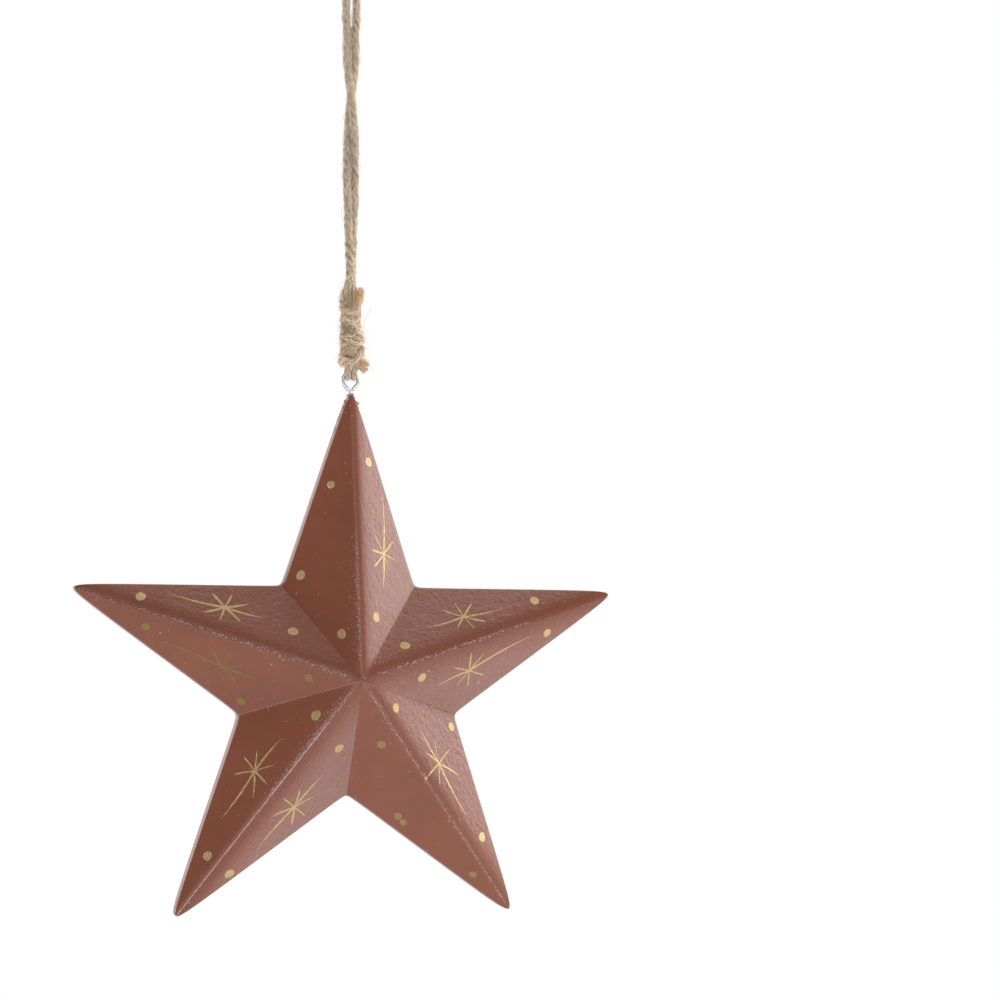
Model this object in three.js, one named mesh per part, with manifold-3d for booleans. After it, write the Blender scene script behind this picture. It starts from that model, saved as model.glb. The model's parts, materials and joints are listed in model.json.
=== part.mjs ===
// Hanging star ornament of painted wood, in millimetres.
// A five-pointed faceted star with a flat back hangs by a wire screw eye from a loop of jute twine.
// The origin is where the hook carries the loop. +Z is up and the star faces -Y.
// The twine is one length: cut tail, down inside the whipping, through the eye, up the standing leg,
// over the hook, down the winding leg and round the bundle as the whipping.

import * as THREE from "three";
import { mergeVertices } from "three/addons/utils/BufferGeometryUtils.js";
import Module from "manifold-3d";

const wasm = await Module();
wasm.setup();

// Star, cut from a thick board
const starWidth = 200;
const tipSetBack = 5.3;
const innerRadius = 41.9;
const innerCornerSoftness = 1.2;
const sideWall = 7;
const relief = 28.7;
const ridgeSoftness = 1.8;
const valleySoftness = 0.7;
const edgeChamfer = 0.5;

// Screw eye, bent from one wire
const eyeWire = 1.1;
const eyeOuterWidth = 6.9;
const eyeNeck = 4.4;
const eyeAboveWood = 5.7;
const eyeFromBack = 4;
const shankInWood = 8;
const eyeMouthGap = 0.4;
const pilotClearance = 0.3;
const pilotDepth = 9.5;

// Twine and its knot
const twine = 2.8;
const strandInWhipping = 2.5;
const strandInEye = 2.4;
const windingTwine = 2.6;
const windingPitch = 3.1;
const windingTurns = 6.28;
const bundleTwistDegrees = 40;
const bendAboveWire = 1.5;
const whippingAboveBend = 0.5;
const loopLength = 133;
const loopBendRadius = 5.6;
const twistHeight = 96;
const topTailLength = 8;
const topTailLean = 3.8;
const lowerTailReach = 5.4;
const lowerTailDrop = 3.4;
const fit = 0.3;

const tipAngle = Math.PI / 5;

// The edge from a sharp tip to an inner corner is a straight line: its normal and its distance from the centre
const sharpRadius = starWidth / 2 / Math.cos(Math.PI / 10) + tipSetBack;
const edgeNormal = Math.atan2(
  sharpRadius - innerRadius * Math.cos(tipAngle),
  innerRadius * Math.sin(tipAngle),
);
const edgeDistance = sharpRadius * Math.cos(edgeNormal);
const tipSoftness = tipSetBack / Math.tan(edgeNormal);
const starRadius = sharpRadius - tipSetBack;

// Share of the way from the centre to the star's edge, at a radius and an angle from the nearest tip.
// The creases at ridge and valley are rounded into hyperbolas whose softness is in millimetres.
function edgeShare(radius, angle, ridgeSoft, valleySoft) {
  const fromRidge = radius * Math.sin(angle);
  const fromValley = radius * Math.sin(tipAngle - angle);
  const plane = radius * Math.cos(angle - edgeNormal);
  const ridge = Math.sin(edgeNormal) * (Math.hypot(fromRidge, ridgeSoft) - fromRidge);
  const valley = Math.sin(edgeNormal - tipAngle) * (Math.hypot(fromValley, valleySoft) - fromValley);
  return (plane + ridge - valley) / edgeDistance;
}

function outlineRadius(angle) {
  let low = 0;
  let high = sharpRadius;
  for (let step = 0; step < 40; step += 1) {
    const middle = (low + high) / 2;
    const inside = edgeShare(middle, angle, tipSoftness, innerCornerSoftness) < 1;
    low = inside ? middle : low;
    high = inside ? high : middle;
  }
  return low;
}

function frontHeight(radius, angle) {
  return sideWall + relief * (1 - edgeShare(radius, angle, ridgeSoftness, valleySoftness));
}

// Heights of the eye and the knot, all above or below the middle of the eye's top wire
const eyeRadius = (eyeOuterWidth - eyeWire) / 2;
const eyeTopAboveWood = eyeAboveWood + eyeRadius;
const whippingBottom = bendAboveWire + whippingAboveBend;
const strandSpacing = strandInWhipping + fit;
const spacingAtEye = strandInEye + eyeWire + 2 * fit;
const windingSide = strandInWhipping / 2 + fit + windingTwine / 2;
const firstTurn = whippingBottom + windingTwine / 2;
const lastTurn = firstTurn + windingTurns * windingPitch;
const strandBottom = bendAboveWire + strandInEye / 2 + fit;
const strandTop = lastTurn + windingTwine / 2;
const whippingTop = strandTop + windingTwine;
const wireHeight = twine / 2 - loopLength - whippingTop;

// Closed mesh from rows of points, each row once round, with a fan at each end
function solidFromRows(rows, firstPoint, lastPoint) {
  const around = rows[0].length;
  const points = [firstPoint, ...rows.flat(), lastPoint];
  const faces = [];
  for (let row = 0; row < rows.length - 1; row += 1) {
    for (let k = 0; k < around; k += 1) {
      const a = 1 + row * around + k;
      const b = 1 + row * around + ((k + 1) % around);
      faces.push(a, b, a + around, b, b + around, a + around);
    }
  }
  const lastRow = 1 + (rows.length - 1) * around;
  for (let k = 0; k < around; k += 1) {
    const next = (k + 1) % around;
    faces.push(0, 1 + next, 1 + k, lastRow + k, lastRow + next, points.length - 1);
  }
  const geometry = new THREE.BufferGeometry().setFromPoints(points);
  geometry.setIndex(faces);
  return geometry;
}

function manifoldOf(geometry) {
  const bare = geometry.clone();
  bare.deleteAttribute("normal");
  bare.deleteAttribute("uv");
  const merged = mergeVertices(bare, 1e-4);
  const triVerts = new Uint32Array(merged.index.array);
  const vertProperties = merged.attributes.position.array;
  return new wasm.Manifold(new wasm.Mesh({ numProp: 3, vertProperties, triVerts }));
}

function geometryOf(solid) {
  const mesh = solid.getMesh();
  const geometry = new THREE.BufferGeometry();
  geometry.setAttribute("position", new THREE.BufferAttribute(mesh.vertProperties, 3));
  geometry.setIndex(new THREE.BufferAttribute(mesh.triVerts, 1));
  geometry.computeVertexNormals();
  return geometry;
}

// Star in its own frame: the eye's top wire is the origin, the back lies eyeFromBack behind it
function starGeometry() {
  const fromRidge = [0, 0.12, 0.3, 0.6, 1.1, 2.2, 4.5, 9, 16, 24, 30, 33, 34.8, 36];
  const shares = [0.03, 0.08, 0.2, 0.5, 0.8, 0.93, 0.975];
  const centreHeight = -eyeTopAboveWood - starRadius;
  const columns = [];
  for (let sector = 0; sector < 10; sector += 1) {
    const ascending = sector % 2 === 0;
    for (let k = 0; k < fromRidge.length - 1; k += 1) {
      const degrees = ascending ? fromRidge[k] : fromRidge[fromRidge.length - 1 - k];
      const turned = sector * 36 + (ascending ? degrees : 36 - degrees);
      columns.push({ fold: THREE.MathUtils.degToRad(degrees), turn: THREE.MathUtils.degToRad(turned) });
    }
  }
  const place = (radius, turn, height) =>
    new THREE.Vector3(radius * Math.sin(turn), eyeFromBack - height, centreHeight + radius * Math.cos(turn));
  const ring = (radiusOf, heightOf) =>
    columns.map(({ fold, turn }) => {
      const radius = radiusOf(outlineRadius(fold));
      return place(radius, turn, heightOf(radius, fold));
    });
  const rows = shares.map((share) => ring((outline) => outline * share, frontHeight));
  rows.push(ring((outline) => outline - edgeChamfer, frontHeight));
  rows.push(ring((outline) => outline, (radius, fold) => frontHeight(radius, fold) - edgeChamfer));
  rows.push(ring((outline) => outline, () => edgeChamfer));
  rows.push(ring((outline) => outline - edgeChamfer, () => 0));
  const apex = place(0, 0, frontHeight(0, 0));
  const back = place(0, 0, 0);
  return solidFromRows(rows, apex, back);
}

function starWithPilotHole() {
  const hole = new THREE.CylinderGeometry(
    eyeWire / 2 + pilotClearance,
    eyeWire / 2 + pilotClearance,
    2 * pilotDepth,
    16,
  );
  hole.rotateX(Math.PI / 2);
  hole.translate(0, 0, -eyeTopAboveWood);
  return geometryOf(manifoldOf(starGeometry()).subtract(manifoldOf(hole)));
}

// Tube of a round twine or wire along a curve, with flat ends square to it
function tube(curve, diameter, steps, sides) {
  const section = new THREE.Shape();
  for (let k = 0; k < sides; k += 1) {
    const turn = (2 * Math.PI * k) / sides;
    const x = (diameter / 2) * Math.cos(turn);
    const y = (diameter / 2) * Math.sin(turn);
    if (k === 0) section.moveTo(x, y);
    else section.lineTo(x, y);
  }
  return new THREE.ExtrudeGeometry(section, { steps, bevelEnabled: false, extrudePath: curve });
}

function smoothCurve(points) {
  return new THREE.CatmullRomCurve3(points, false, "centripetal");
}

// Screw eye: up the shank, out along the left flank, round the eye and back down the right flank,
// where the cut end stops short of the left flank
function eyeCurve() {
  const neck = -eyeRadius - eyeNeck;
  const half = THREE.MathUtils.degToRad(128);
  const points = [
    new THREE.Vector3(0, 0, -eyeTopAboveWood - shankInWood),
    new THREE.Vector3(0, 0, -eyeTopAboveWood - shankInWood / 2),
    new THREE.Vector3(0, 0, -eyeTopAboveWood),
    new THREE.Vector3(-0.1 * eyeWire, 0, neck),
  ];
  for (let k = 0; k <= 12; k += 1) {
    const turn = -half + (2 * half * k) / 12;
    points.push(new THREE.Vector3(eyeRadius * Math.sin(turn), 0, eyeRadius * (Math.cos(turn) - 1)));
  }
  const flank = points[points.length - 1].clone().sub(new THREE.Vector3(0.1 * eyeWire, 0, neck)).normalize();
  const mouth = (eyeWire + eyeMouthGap) / (2 * flank.x * flank.z);
  points.push(new THREE.Vector3(0.1 * eyeWire + mouth * flank.x, 0, neck + mouth * flank.z));
  return smoothCurve(points);
}

// Direction of the two strands across the twine's axis: in line with the eye's opening at both ends
// of the whipping and turned in between
function bundleTurn(height) {
  const share = THREE.MathUtils.clamp((height - firstTurn) / (lastTurn - firstTurn), 0, 1);
  const twist = THREE.MathUtils.degToRad(bundleTwistDegrees) * Math.sin(Math.PI * share) ** 2;
  return Math.PI / 2 - twist;
}

function strandPoint(side, height) {
  const turn = bundleTurn(height);
  const reach = (side * strandSpacing) / 2;
  return new THREE.Vector3(reach * Math.cos(turn), reach * Math.sin(turn), height);
}

function strandPoints(side, low, high, count) {
  const points = [];
  for (let k = 0; k < count; k += 1) {
    points.push(strandPoint(side, low + ((high - low) * k) / (count - 1)));
  }
  return points;
}

// Bight through the eye: a U round the top wire, whose rounded ends bend where they leave the whipping
function bightGeometry() {
  const drop = spacingAtEye / 2;
  const points = [];
  for (let k = 0; k <= 8; k += 1) {
    const turn = (Math.PI * k) / 8;
    points.push(new THREE.Vector3(0, -drop * Math.cos(turn), -drop * Math.sin(turn)));
  }
  points.unshift(new THREE.Vector3(0, -strandSpacing / 2, bendAboveWire));
  points.push(new THREE.Vector3(0, strandSpacing / 2, bendAboveWire));
  let solid = manifoldOf(tube(smoothCurve(points), strandInEye, 16, 8));
  for (const side of [-1, 1]) {
    const end = new THREE.SphereGeometry(strandInEye / 2, 12, 8);
    end.translate(0, (side * strandSpacing) / 2, bendAboveWire);
    solid = solid.add(manifoldOf(end));
  }
  return geometryOf(solid);
}

// Distance of the winding from the axis: an oval that clears both strands
function windingRadius(turn, height) {
  const across = Math.abs(Math.cos(turn - bundleTurn(height))) ** 1.5;
  return windingSide + (strandSpacing / 2) * across;
}

function windingPoint(turn, height) {
  const radius = windingRadius(turn, height);
  return new THREE.Vector3(radius * Math.cos(turn), radius * Math.sin(turn), height);
}

// Where the winding leg comes down to the last turn, left of the bundle
const windingStart = new THREE.Vector3(-windingSide, 0, whippingTop);

// The whipping from its top end downwards: a straight run, the turns, and the cut end at the lower right
function windingPoints() {
  const runEnd = whippingTop - windingTwine;
  const points = [whippingTop, (whippingTop + runEnd) / 2, runEnd].map((z) => windingStart.clone().setZ(z));
  const steps = Math.round(windingTurns * 24);
  for (let k = 3; k <= steps; k += 1) {
    points.push(windingPoint(Math.PI + (2 * Math.PI * k) / 24, lastTurn - (windingPitch * k) / 24));
  }
  const last = points[points.length - 1];
  const reach = lowerTailReach - last.x;
  points.push(new THREE.Vector3(last.x + 0.5 * reach, last.y - 0.04 * reach, last.z - 0.3 * lowerTailDrop));
  points.push(new THREE.Vector3(lowerTailReach, last.y - 0.12 * reach, last.z - lowerTailDrop));
  return points;
}

// Least distance between two stretches of one tube that are over two diameters apart along it
function leastGapToItself(curve, diameter) {
  const points = curve.getSpacedPoints(600);
  const apart = Math.ceil((2 * diameter * 600) / curve.getLength());
  let least = Infinity;
  for (let a = 0; a < points.length; a += 1) {
    for (let b = a + apart; b < points.length; b += 1) {
      least = Math.min(least, points[a].distanceTo(points[b]) - diameter);
    }
  }
  return least;
}

function whippingGeometry() {
  const curve = smoothCurve(windingPoints());
  console.log(`whipping: least gap to itself ${leastGapToItself(curve, windingTwine).toFixed(2)} mm`);
  return tube(curve, windingTwine, Math.round(24 * (windingTurns + 1)), 6);
}

// Cut tail: from the front of the bight up through the whipping, leaning out to the right above it
function tailCurve() {
  const points = strandPoints(-1, strandBottom, lastTurn - windingTwine, 9);
  const side = -strandSpacing / 2;
  points.push(new THREE.Vector3(0.2 * topTailLean, side, lastTurn));
  points.push(new THREE.Vector3(0.55 * topTailLean, 1.2 * side, lastTurn + 0.35 * topTailLength));
  points.push(new THREE.Vector3(topTailLean, 1.3 * side, strandTop + topTailLength));
  return smoothCurve(points);
}

// Route of the legs above the whipping: height, direction of the pair in degrees, half their distance
const legSide = (twine + fit) / 2;
const legRoute = [
  [9, 66, legSide],
  [20, 60, legSide],
  [35, 30, legSide],
  [50, 0, legSide],
  [64, -45, legSide],
  [77, -90, legSide],
  [87, -140, legSide],
  [twistHeight - 3, -179, legSide],
  [twistHeight, -180, legSide],
  [twistHeight + 3, -180, legSide],
  [104, -180, legSide],
  [108.5, -180, 1.2 * legSide],
  [112.5, -180, 1.3 * legSide],
  [116.5, -180, 1.3 * legSide],
  [121, -180, 0.54 * loopBendRadius],
  [loopLength - loopBendRadius, -180, loopBendRadius],
];

function legPoint([height, degrees, half], side) {
  const turn = THREE.MathUtils.degToRad(degrees);
  const reach = side * half;
  return new THREE.Vector3(reach * Math.cos(turn), reach * Math.sin(turn), whippingTop + height);
}

function legPoints(side, low, high) {
  return legRoute.filter(([height]) => height >= low && height <= high).map((point) => legPoint(point, side));
}

// The strand inside the whipping that joins the back of the bight to the standing leg
function innerStrandCurve() {
  return smoothCurve(strandPoints(1, strandBottom, strandTop, 12));
}

// The leg that rises from the inner strand
function standingLegCurve() {
  const start = strandPoint(1, strandTop + fit);
  return smoothCurve([start, start.clone().setZ(strandTop + fit + twine), ...legPoints(1, 0, twistHeight)]);
}

// The leg that comes down to the top of the whipping
function windingLegCurve() {
  const start = windingStart.clone().setZ(whippingTop + fit);
  const shoulder = [
    start.clone().setZ(whippingTop + fit + twine / 2),
    new THREE.Vector3(-0.74 * windingSide, -0.27 * strandSpacing, whippingTop + 1.4 * twine),
    new THREE.Vector3(-0.4 * windingSide, -0.45 * strandSpacing, whippingTop + 2.3 * twine),
  ];
  return smoothCurve([start, ...shoulder, ...legPoints(-1, 0, twistHeight)]);
}

// Top of the loop, from leg to leg over the hook
function loopTopCurve() {
  const rising = legPoints(1, twistHeight, loopLength);
  const falling = legPoints(-1, twistHeight, loopLength).reverse();
  rising[0].z += fit;
  falling[falling.length - 1].z += fit;
  const bend = [];
  for (let k = 1; k < 8; k += 1) {
    const turn = (Math.PI * k) / 8;
    const height = whippingTop + loopLength - loopBendRadius + loopBendRadius * Math.sin(turn);
    bend.push(new THREE.Vector3(-loopBendRadius * Math.cos(turn), 0, height));
  }
  return smoothCurve([...rising, ...bend, ...falling]);
}

// Centre of a closed solid, from the tetrahedra that its faces make with the origin
function centreOf(geometry) {
  const corner = [new THREE.Vector3(), new THREE.Vector3(), new THREE.Vector3()];
  const position = geometry.getAttribute("position");
  const sum = new THREE.Vector3();
  let volume = 0;
  for (let face = 0; face < geometry.index.count; face += 3) {
    corner.forEach((point, k) => point.fromBufferAttribute(position, geometry.index.getX(face + k)));
    const share = corner[0].dot(corner[1].clone().cross(corner[2])) / 6;
    volume += share;
    corner.forEach((point) => sum.addScaledVector(point, share / 4));
  }
  return sum.divideScalar(volume);
}

function material(color, roughness, metalness) {
  return new THREE.MeshStandardMaterial({ color, roughness, metalness });
}

function node(name, geometry, surface) {
  const mesh = new THREE.Mesh(geometry, surface);
  mesh.name = name;
  return mesh;
}

const jute = () => material(0xb59b7c, 0.95, 0);
const star = starWithPilotHole();
const centre = centreOf(star);

// The star leans until its weight hangs straight below the eye's top wire
const hung = new THREE.Group();
hung.rotation.x = Math.atan(centre.y / centre.z);
hung.add(node("star_body", star, material(0x8a5a45, 0.42, 0)));
hung.add(node("screw_eye", tube(eyeCurve(), eyeWire, 60, 12), material(0xc8cacd, 0.22, 1)));

const ornament = new THREE.Group();
ornament.position.z = wireHeight;
ornament.add(hung);
ornament.add(node("eye_bight", bightGeometry(), jute()));
ornament.add(node("whipping", whippingGeometry(), jute()));
ornament.add(node("tail_strand", tube(tailCurve(), strandInWhipping, 14, 8), jute()));
ornament.add(node("inner_strand", tube(innerStrandCurve(), strandInWhipping, 12, 8), jute()));
ornament.add(node("standing_leg", tube(standingLegCurve(), twine, 22, 8), jute()));
ornament.add(node("winding_leg", tube(windingLegCurve(), twine, 20, 8), jute()));
ornament.add(node("loop_top", tube(loopTopCurve(), twine, 24, 8), jute()));

export default ornament;
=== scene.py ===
"""Painted wooden star that hangs by a wire screw eye from a whipped loop of jute twine.

Lengths are metres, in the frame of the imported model: the hook carries the loop at the origin,
+Z is up and the star faces -Y. Each operator makes one piece or one group of like pieces.
"""

import json
import math

import bpy
import numpy as np
from bpy.props import FloatProperty, FloatVectorProperty, IntProperty, PointerProperty
from mathutils import Matrix


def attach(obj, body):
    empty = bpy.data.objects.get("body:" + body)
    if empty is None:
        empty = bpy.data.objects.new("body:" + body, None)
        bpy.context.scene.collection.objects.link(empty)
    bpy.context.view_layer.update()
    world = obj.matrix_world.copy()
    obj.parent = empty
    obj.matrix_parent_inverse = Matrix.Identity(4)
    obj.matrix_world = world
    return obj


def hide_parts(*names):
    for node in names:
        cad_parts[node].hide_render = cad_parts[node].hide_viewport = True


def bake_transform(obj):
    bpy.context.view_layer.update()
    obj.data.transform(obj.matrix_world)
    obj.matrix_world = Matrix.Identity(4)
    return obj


bl_info = {
    "name": "Star ornament",
    "version": (1, 0, 0),
    "blender": (4, 5, 0),
    "location": "3D View > Sidebar > Ornament",
    "description": "Makes the looks of a painted hanging star on its packed model",
    "category": "Object",
}

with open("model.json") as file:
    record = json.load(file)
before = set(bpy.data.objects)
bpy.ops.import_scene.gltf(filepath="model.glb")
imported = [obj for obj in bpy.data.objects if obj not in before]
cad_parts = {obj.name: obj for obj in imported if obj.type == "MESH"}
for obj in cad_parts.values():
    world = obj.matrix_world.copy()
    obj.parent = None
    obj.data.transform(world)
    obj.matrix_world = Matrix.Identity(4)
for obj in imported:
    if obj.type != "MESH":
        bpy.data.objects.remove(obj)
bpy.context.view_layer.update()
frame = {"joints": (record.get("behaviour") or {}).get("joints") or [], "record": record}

MM = 0.001
TIP_ANGLE = math.pi / 5
JOINT_HEIGHT = {joint["name"]: joint["pos_m"][2] for joint in frame["joints"]}
WIRE_HEIGHT = JOINT_HEIGHT["front_swing"]
BEND_HEIGHT = JOINT_HEIGHT["side_swing"]
BACK_FACING = next(m["axis"] for m in frame["record"]["mounts"] if m["name"] == "back")
LEAN = math.atan2(BACK_FACING[2], BACK_FACING[1])

# Roundings of the star's surface that the settings leave out, and widths of two pale lines on it
RIDGE_EASE = 3.5 * MM
BACK_ROUND = 0.6 * MM
# The pale lines: on the ridges a sanded line lightened as a painted glint, in one valley a painted highlight
BARE_GLINT_LINE = 0.75 * MM
VALLEY_GLINT_LINE = 0.6 * MM

# The way of looking that makes cut fibres and hairs round: roughly from the camera
TOWARDS_CAMERA = (0.3, 1, 0.2)

CAMERA_PLACE = (-0.1509, -0.8054, -0.3006)
CAMERA_TURN = (96.581, 0.3, -14.461)
LAMP_AIM = (0, 0, -0.25)

# In the photo the wire looks fuller and its mouth narrower than in the solids
FULLER = 1.16
MOUTH_CLOSING = 0.6 * MM

# Pitch of the screw thread on the shank
THREAD_PITCH = 0.55 * MM


def length_setting(name, description, millimetres):
    """A length that the user can change, given in millimetres."""
    return FloatProperty(
        name=name, description=description, default=millimetres * MM, min=0, precision=5, unit="LENGTH"
    )


def colour_setting(name, description, colour):
    """A colour that the user can change, as linear red, green and blue."""
    return FloatVectorProperty(
        name=name, description=description, default=colour, min=0, max=1, size=3, subtype="COLOR"
    )


def share_setting(name, description, share):
    """A share from 0 to 1 that the user can change."""
    return FloatProperty(name=name, description=description, default=share, min=0, max=1, subtype="FACTOR")


def power_setting(name, description, watts):
    """A lamp's power that the user can change."""
    return FloatProperty(name=name, description=f"Power of the {description}", default=watts, unit="POWER")


class StarSettings(bpy.types.PropertyGroup):
    """Shape and paint of the wooden star."""

    width: length_setting("Width", "From the left tip to the right tip", 200)
    tip_set_back: length_setting("Tip set-back", "How far each tip is rounded back", 5.3)
    inner_radius: length_setting("Inner radius", "From the centre to the inner corners", 41.9)
    inner_softness: length_setting("Inner corner softness", "Rounding of the outline's inner corners", 1.2)
    side_wall: length_setting("Side wall", "Thickness of the board at its edge", 7)
    relief: length_setting("Relief", "Height of the centre above the edge", 28.7)
    ridge_softness: length_setting("Ridge softness", "Rounding of the five ridges", 1.8)
    ridge_wear: length_setting("Ridge wear", "How far sanding has lowered the ridges", 0.5)
    valley_softness: length_setting("Valley softness", "Rounding of the five valleys", 0.7)
    edge_round: length_setting("Edge round", "Rounding between the facets and the wall", 0.8)
    unevenness: length_setting("Unevenness", "Height of the lumps left by sanding", 0.06)
    paint: colour_setting("Paint", "Red-brown paint", (0.275, 0.09, 0.051))
    roughness: share_setting("Roughness", "Roughness of the satin paint", 0.28)


class GoldSettings(bpy.types.PropertyGroup):
    """Gold marks painted by hand on the facets."""

    dot: length_setting("Dot", "Diameter of a dot", 3.7)
    stroke: length_setting("Stroke", "Width of a long stroke", 0.85)
    film: length_setting("Film", "Thickness of the paint film", 0.07)
    paint: colour_setting("Paint", "Gold paint", (0.69, 0.49, 0.23))
    roughness: share_setting("Roughness", "Roughness of the gold paint", 0.42)


class EyeSettings(bpy.types.PropertyGroup):
    """Screw eye bent from one wire."""

    wire: length_setting("Wire", "Diameter of the wire", 1.1)
    outer_width: length_setting("Outer width", "Outer width of the eye", 6.9)
    neck: length_setting("Neck", "Drop from the eye's middle to where the flanks meet", 4.4)
    above_wood: length_setting("Above the wood", "Height of the eye's middle above the tip", 5.7)
    from_back: length_setting("From the back", "Distance of the wire from the star's back", 4)
    shank: length_setting("Shank", "Length of the thread in the wood", 8)
    mouth: length_setting("Mouth", "Gap at the wire's cut end", 0.4)
    metal: colour_setting("Metal", "Bright zinc plating", (0.7, 0.7, 0.72))


class TwineSettings(bpy.types.PropertyGroup):
    """Jute twine, its loop and its whipping."""

    diameter: length_setting("Diameter", "Diameter of the twine", 2.8)
    lay: length_setting("Lay", "Length of one full turn of the plies", 11)
    plies: IntProperty(name="Plies", description="Number of plies", default=3, min=2, max=5)
    loop_length: length_setting("Loop length", "From the whipping to the top of the loop's line", 133)
    loop_bend: length_setting("Loop bend", "Radius of the bend over the hook", 5.6)
    winding: length_setting("Winding", "Diameter of the twine in the whipping", 2.6)
    winding_fluff: length_setting("Winding fluff", "How much thicker the winding gets downwards", 0.3)
    pitch: length_setting("Pitch", "Rise of one turn of the whipping", 3.1)
    turns: FloatProperty(name="Turns", description="Turns of the whipping", default=6.28, min=2, max=12)
    strand: length_setting("Strand", "Diameter of each strand inside the whipping", 2.5)
    strand_in_eye: length_setting("Strand in the eye", "Diameter of the bight in the eye", 2.4)
    fit: length_setting("Fit", "Gap between neighbouring strands", 0.3)
    fibre: colour_setting("Fibre", "Middle colour of the jute", (0.74, 0.555, 0.395))
    # The groove colour is also the painted shade down in the grooves
    groove: colour_setting("Groove", "Colour between the fibres", (0.3, 0.19, 0.115))
    pale: colour_setting("Pale fibre", "Colour of the palest fibres", (0.88, 0.77, 0.63))
    seed: IntProperty(name="Seed", description="Choice of the stray fibres", default=7, min=0)


class StageSettings(bpy.types.PropertyGroup):
    """Floor, lamps and camera."""

    floor_drop: length_setting("Floor drop", "Height of the hook above the floor", 560)
    key: power_setting("Key lamp", "softbox at the right", 7.2)
    high: power_setting("High lamp", "softbox high at the right", 8.2)
    top: power_setting("Top lamp", "lamp above", 3)
    low: power_setting("Low fill", "fill just above the floor", 1.65)
    front: power_setting("Front fill", "fill at the camera", 5.6)
    rim: power_setting("Rim lamp", "softbox behind at the left", 11)
    lens: FloatProperty(name="Lens", description="Focal length", default=80, unit="CAMERA")


# Shapes as arrays


def lattice_field(points, cell, seed):
    """Smooth random numbers from -1 to 1: random values at the corners of a cubic lattice with that cell
    size, blended inside each cell with the fade 3t^2 - 2t^3 along every axis."""
    scaled = np.asarray(points, float) / cell
    corner = np.floor(scaled).astype(np.int64)
    fade = scaled - corner
    fade = fade * fade * (3 - 2 * fade)
    total = np.zeros(scaled.shape[:-1])
    for sides in np.ndindex(2, 2, 2):
        x, y, z = np.moveaxis(corner + sides, -1, 0)
        code = (x * 73856093) ^ (y * 19349663) ^ (z * 83492791) ^ (seed * 2654435761)
        code = (code ^ (code >> 13)) * 1274126177 & 0xFFFFFFFF
        value = ((code ^ (code >> 16)) & 0xFFFF) / 32767.5 - 1
        total += value * np.where(sides, fade, 1 - fade).prod(axis=-1)
    return total


def unit(vectors):
    """The vectors at length one."""
    return vectors / np.maximum(np.linalg.norm(vectors, axis=-1, keepdims=True), 1e-12)


def distance_along(line):
    """Distance of each point of a line from its start."""
    return np.concatenate([[0], np.cumsum(np.linalg.norm(np.diff(line, axis=0), axis=1))])


def interpolated(at, along, rows):
    """The rows, which belong to the rising numbers along, at other such numbers."""
    return np.stack([np.interp(at, along, rows[:, k]) for k in range(3)], axis=-1)


def smooth_line(points, step):
    """Points a step apart on the centripetal Catmull-Rom curve through the given points: cubic stretches
    whose end slopes follow from the neighbours, weighted with the square roots of their distances."""
    p = np.asarray(points, float)
    p = np.vstack([2 * p[0] - p[1], p, 2 * p[-1] - p[-2]])
    chord = np.diff(p, axis=0)
    gap = np.sqrt(np.linalg.norm(chord, axis=1))[:, None]
    before, here, after = gap[:-2], gap[1:-1], gap[2:]
    leaving = chord[:-2] / before - (chord[:-2] + chord[1:-1]) / (before + here) + chord[1:-1] / here
    arriving = chord[1:-1] / here - (chord[1:-1] + chord[2:]) / (here + after) + chord[2:] / after
    t = np.linspace(0, 1, 60, endpoint=False)[None, :, None]
    start, end = p[1:-2, None], p[2:-1, None]
    out, into = (leaving * here)[:, None], (arriving * here)[:, None]
    curve = (
        (2 * t**3 - 3 * t**2 + 1) * start
        + (t**3 - 2 * t**2 + t) * out
        + (3 * t**2 - 2 * t**3) * end
        + (t**3 - t**2) * into
    )
    fine = np.vstack([curve.reshape(-1, 3), p[-2]])
    along = distance_along(fine)
    return interpolated(np.linspace(0, along[-1], max(2, round(along[-1] / step) + 1)), along, fine)


def resampled(line, count):
    """The line through that many of its points, evenly chosen."""
    return interpolated(np.linspace(0, len(line) - 1, count), np.arange(len(line)), line)


def frames(line, towards):
    """Normal and binormal along a line: the direction towards, made square to the line, and their product."""
    tangent = unit(np.gradient(line, axis=0))
    towards = np.broadcast_to(towards, line.shape)
    normal = unit(towards - (towards * tangent).sum(1, keepdims=True) * tangent)
    return normal, np.cross(tangent, normal)


def rings_round(line, towards, angle, radius):
    """Rings round a line: each point lies at radius from it, at an angle that is counted from the normal."""
    normal, binormal = frames(line, towards)
    return (
        line[:, None]
        + (radius * np.cos(angle))[..., None] * normal[:, None]
        + (radius * np.sin(angle))[..., None] * binormal[:, None]
    )


def fine_tubes(path, sideways, radius, sides=3):
    """Rings of tubes with few sides along paths of shape (tubes, rings, 3)."""
    tangent = unit(np.gradient(path, axis=1) + 1e-9)
    first = unit(np.cross(tangent, sideways))[:, :, None]
    second = np.cross(tangent, first[:, :, 0])[:, :, None]
    turn = 2 * np.pi * np.arange(sides)[:, None] / sides
    return path[:, :, None] + radius[..., None, None] * (np.cos(turn) * first + np.sin(turn) * second)


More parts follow.
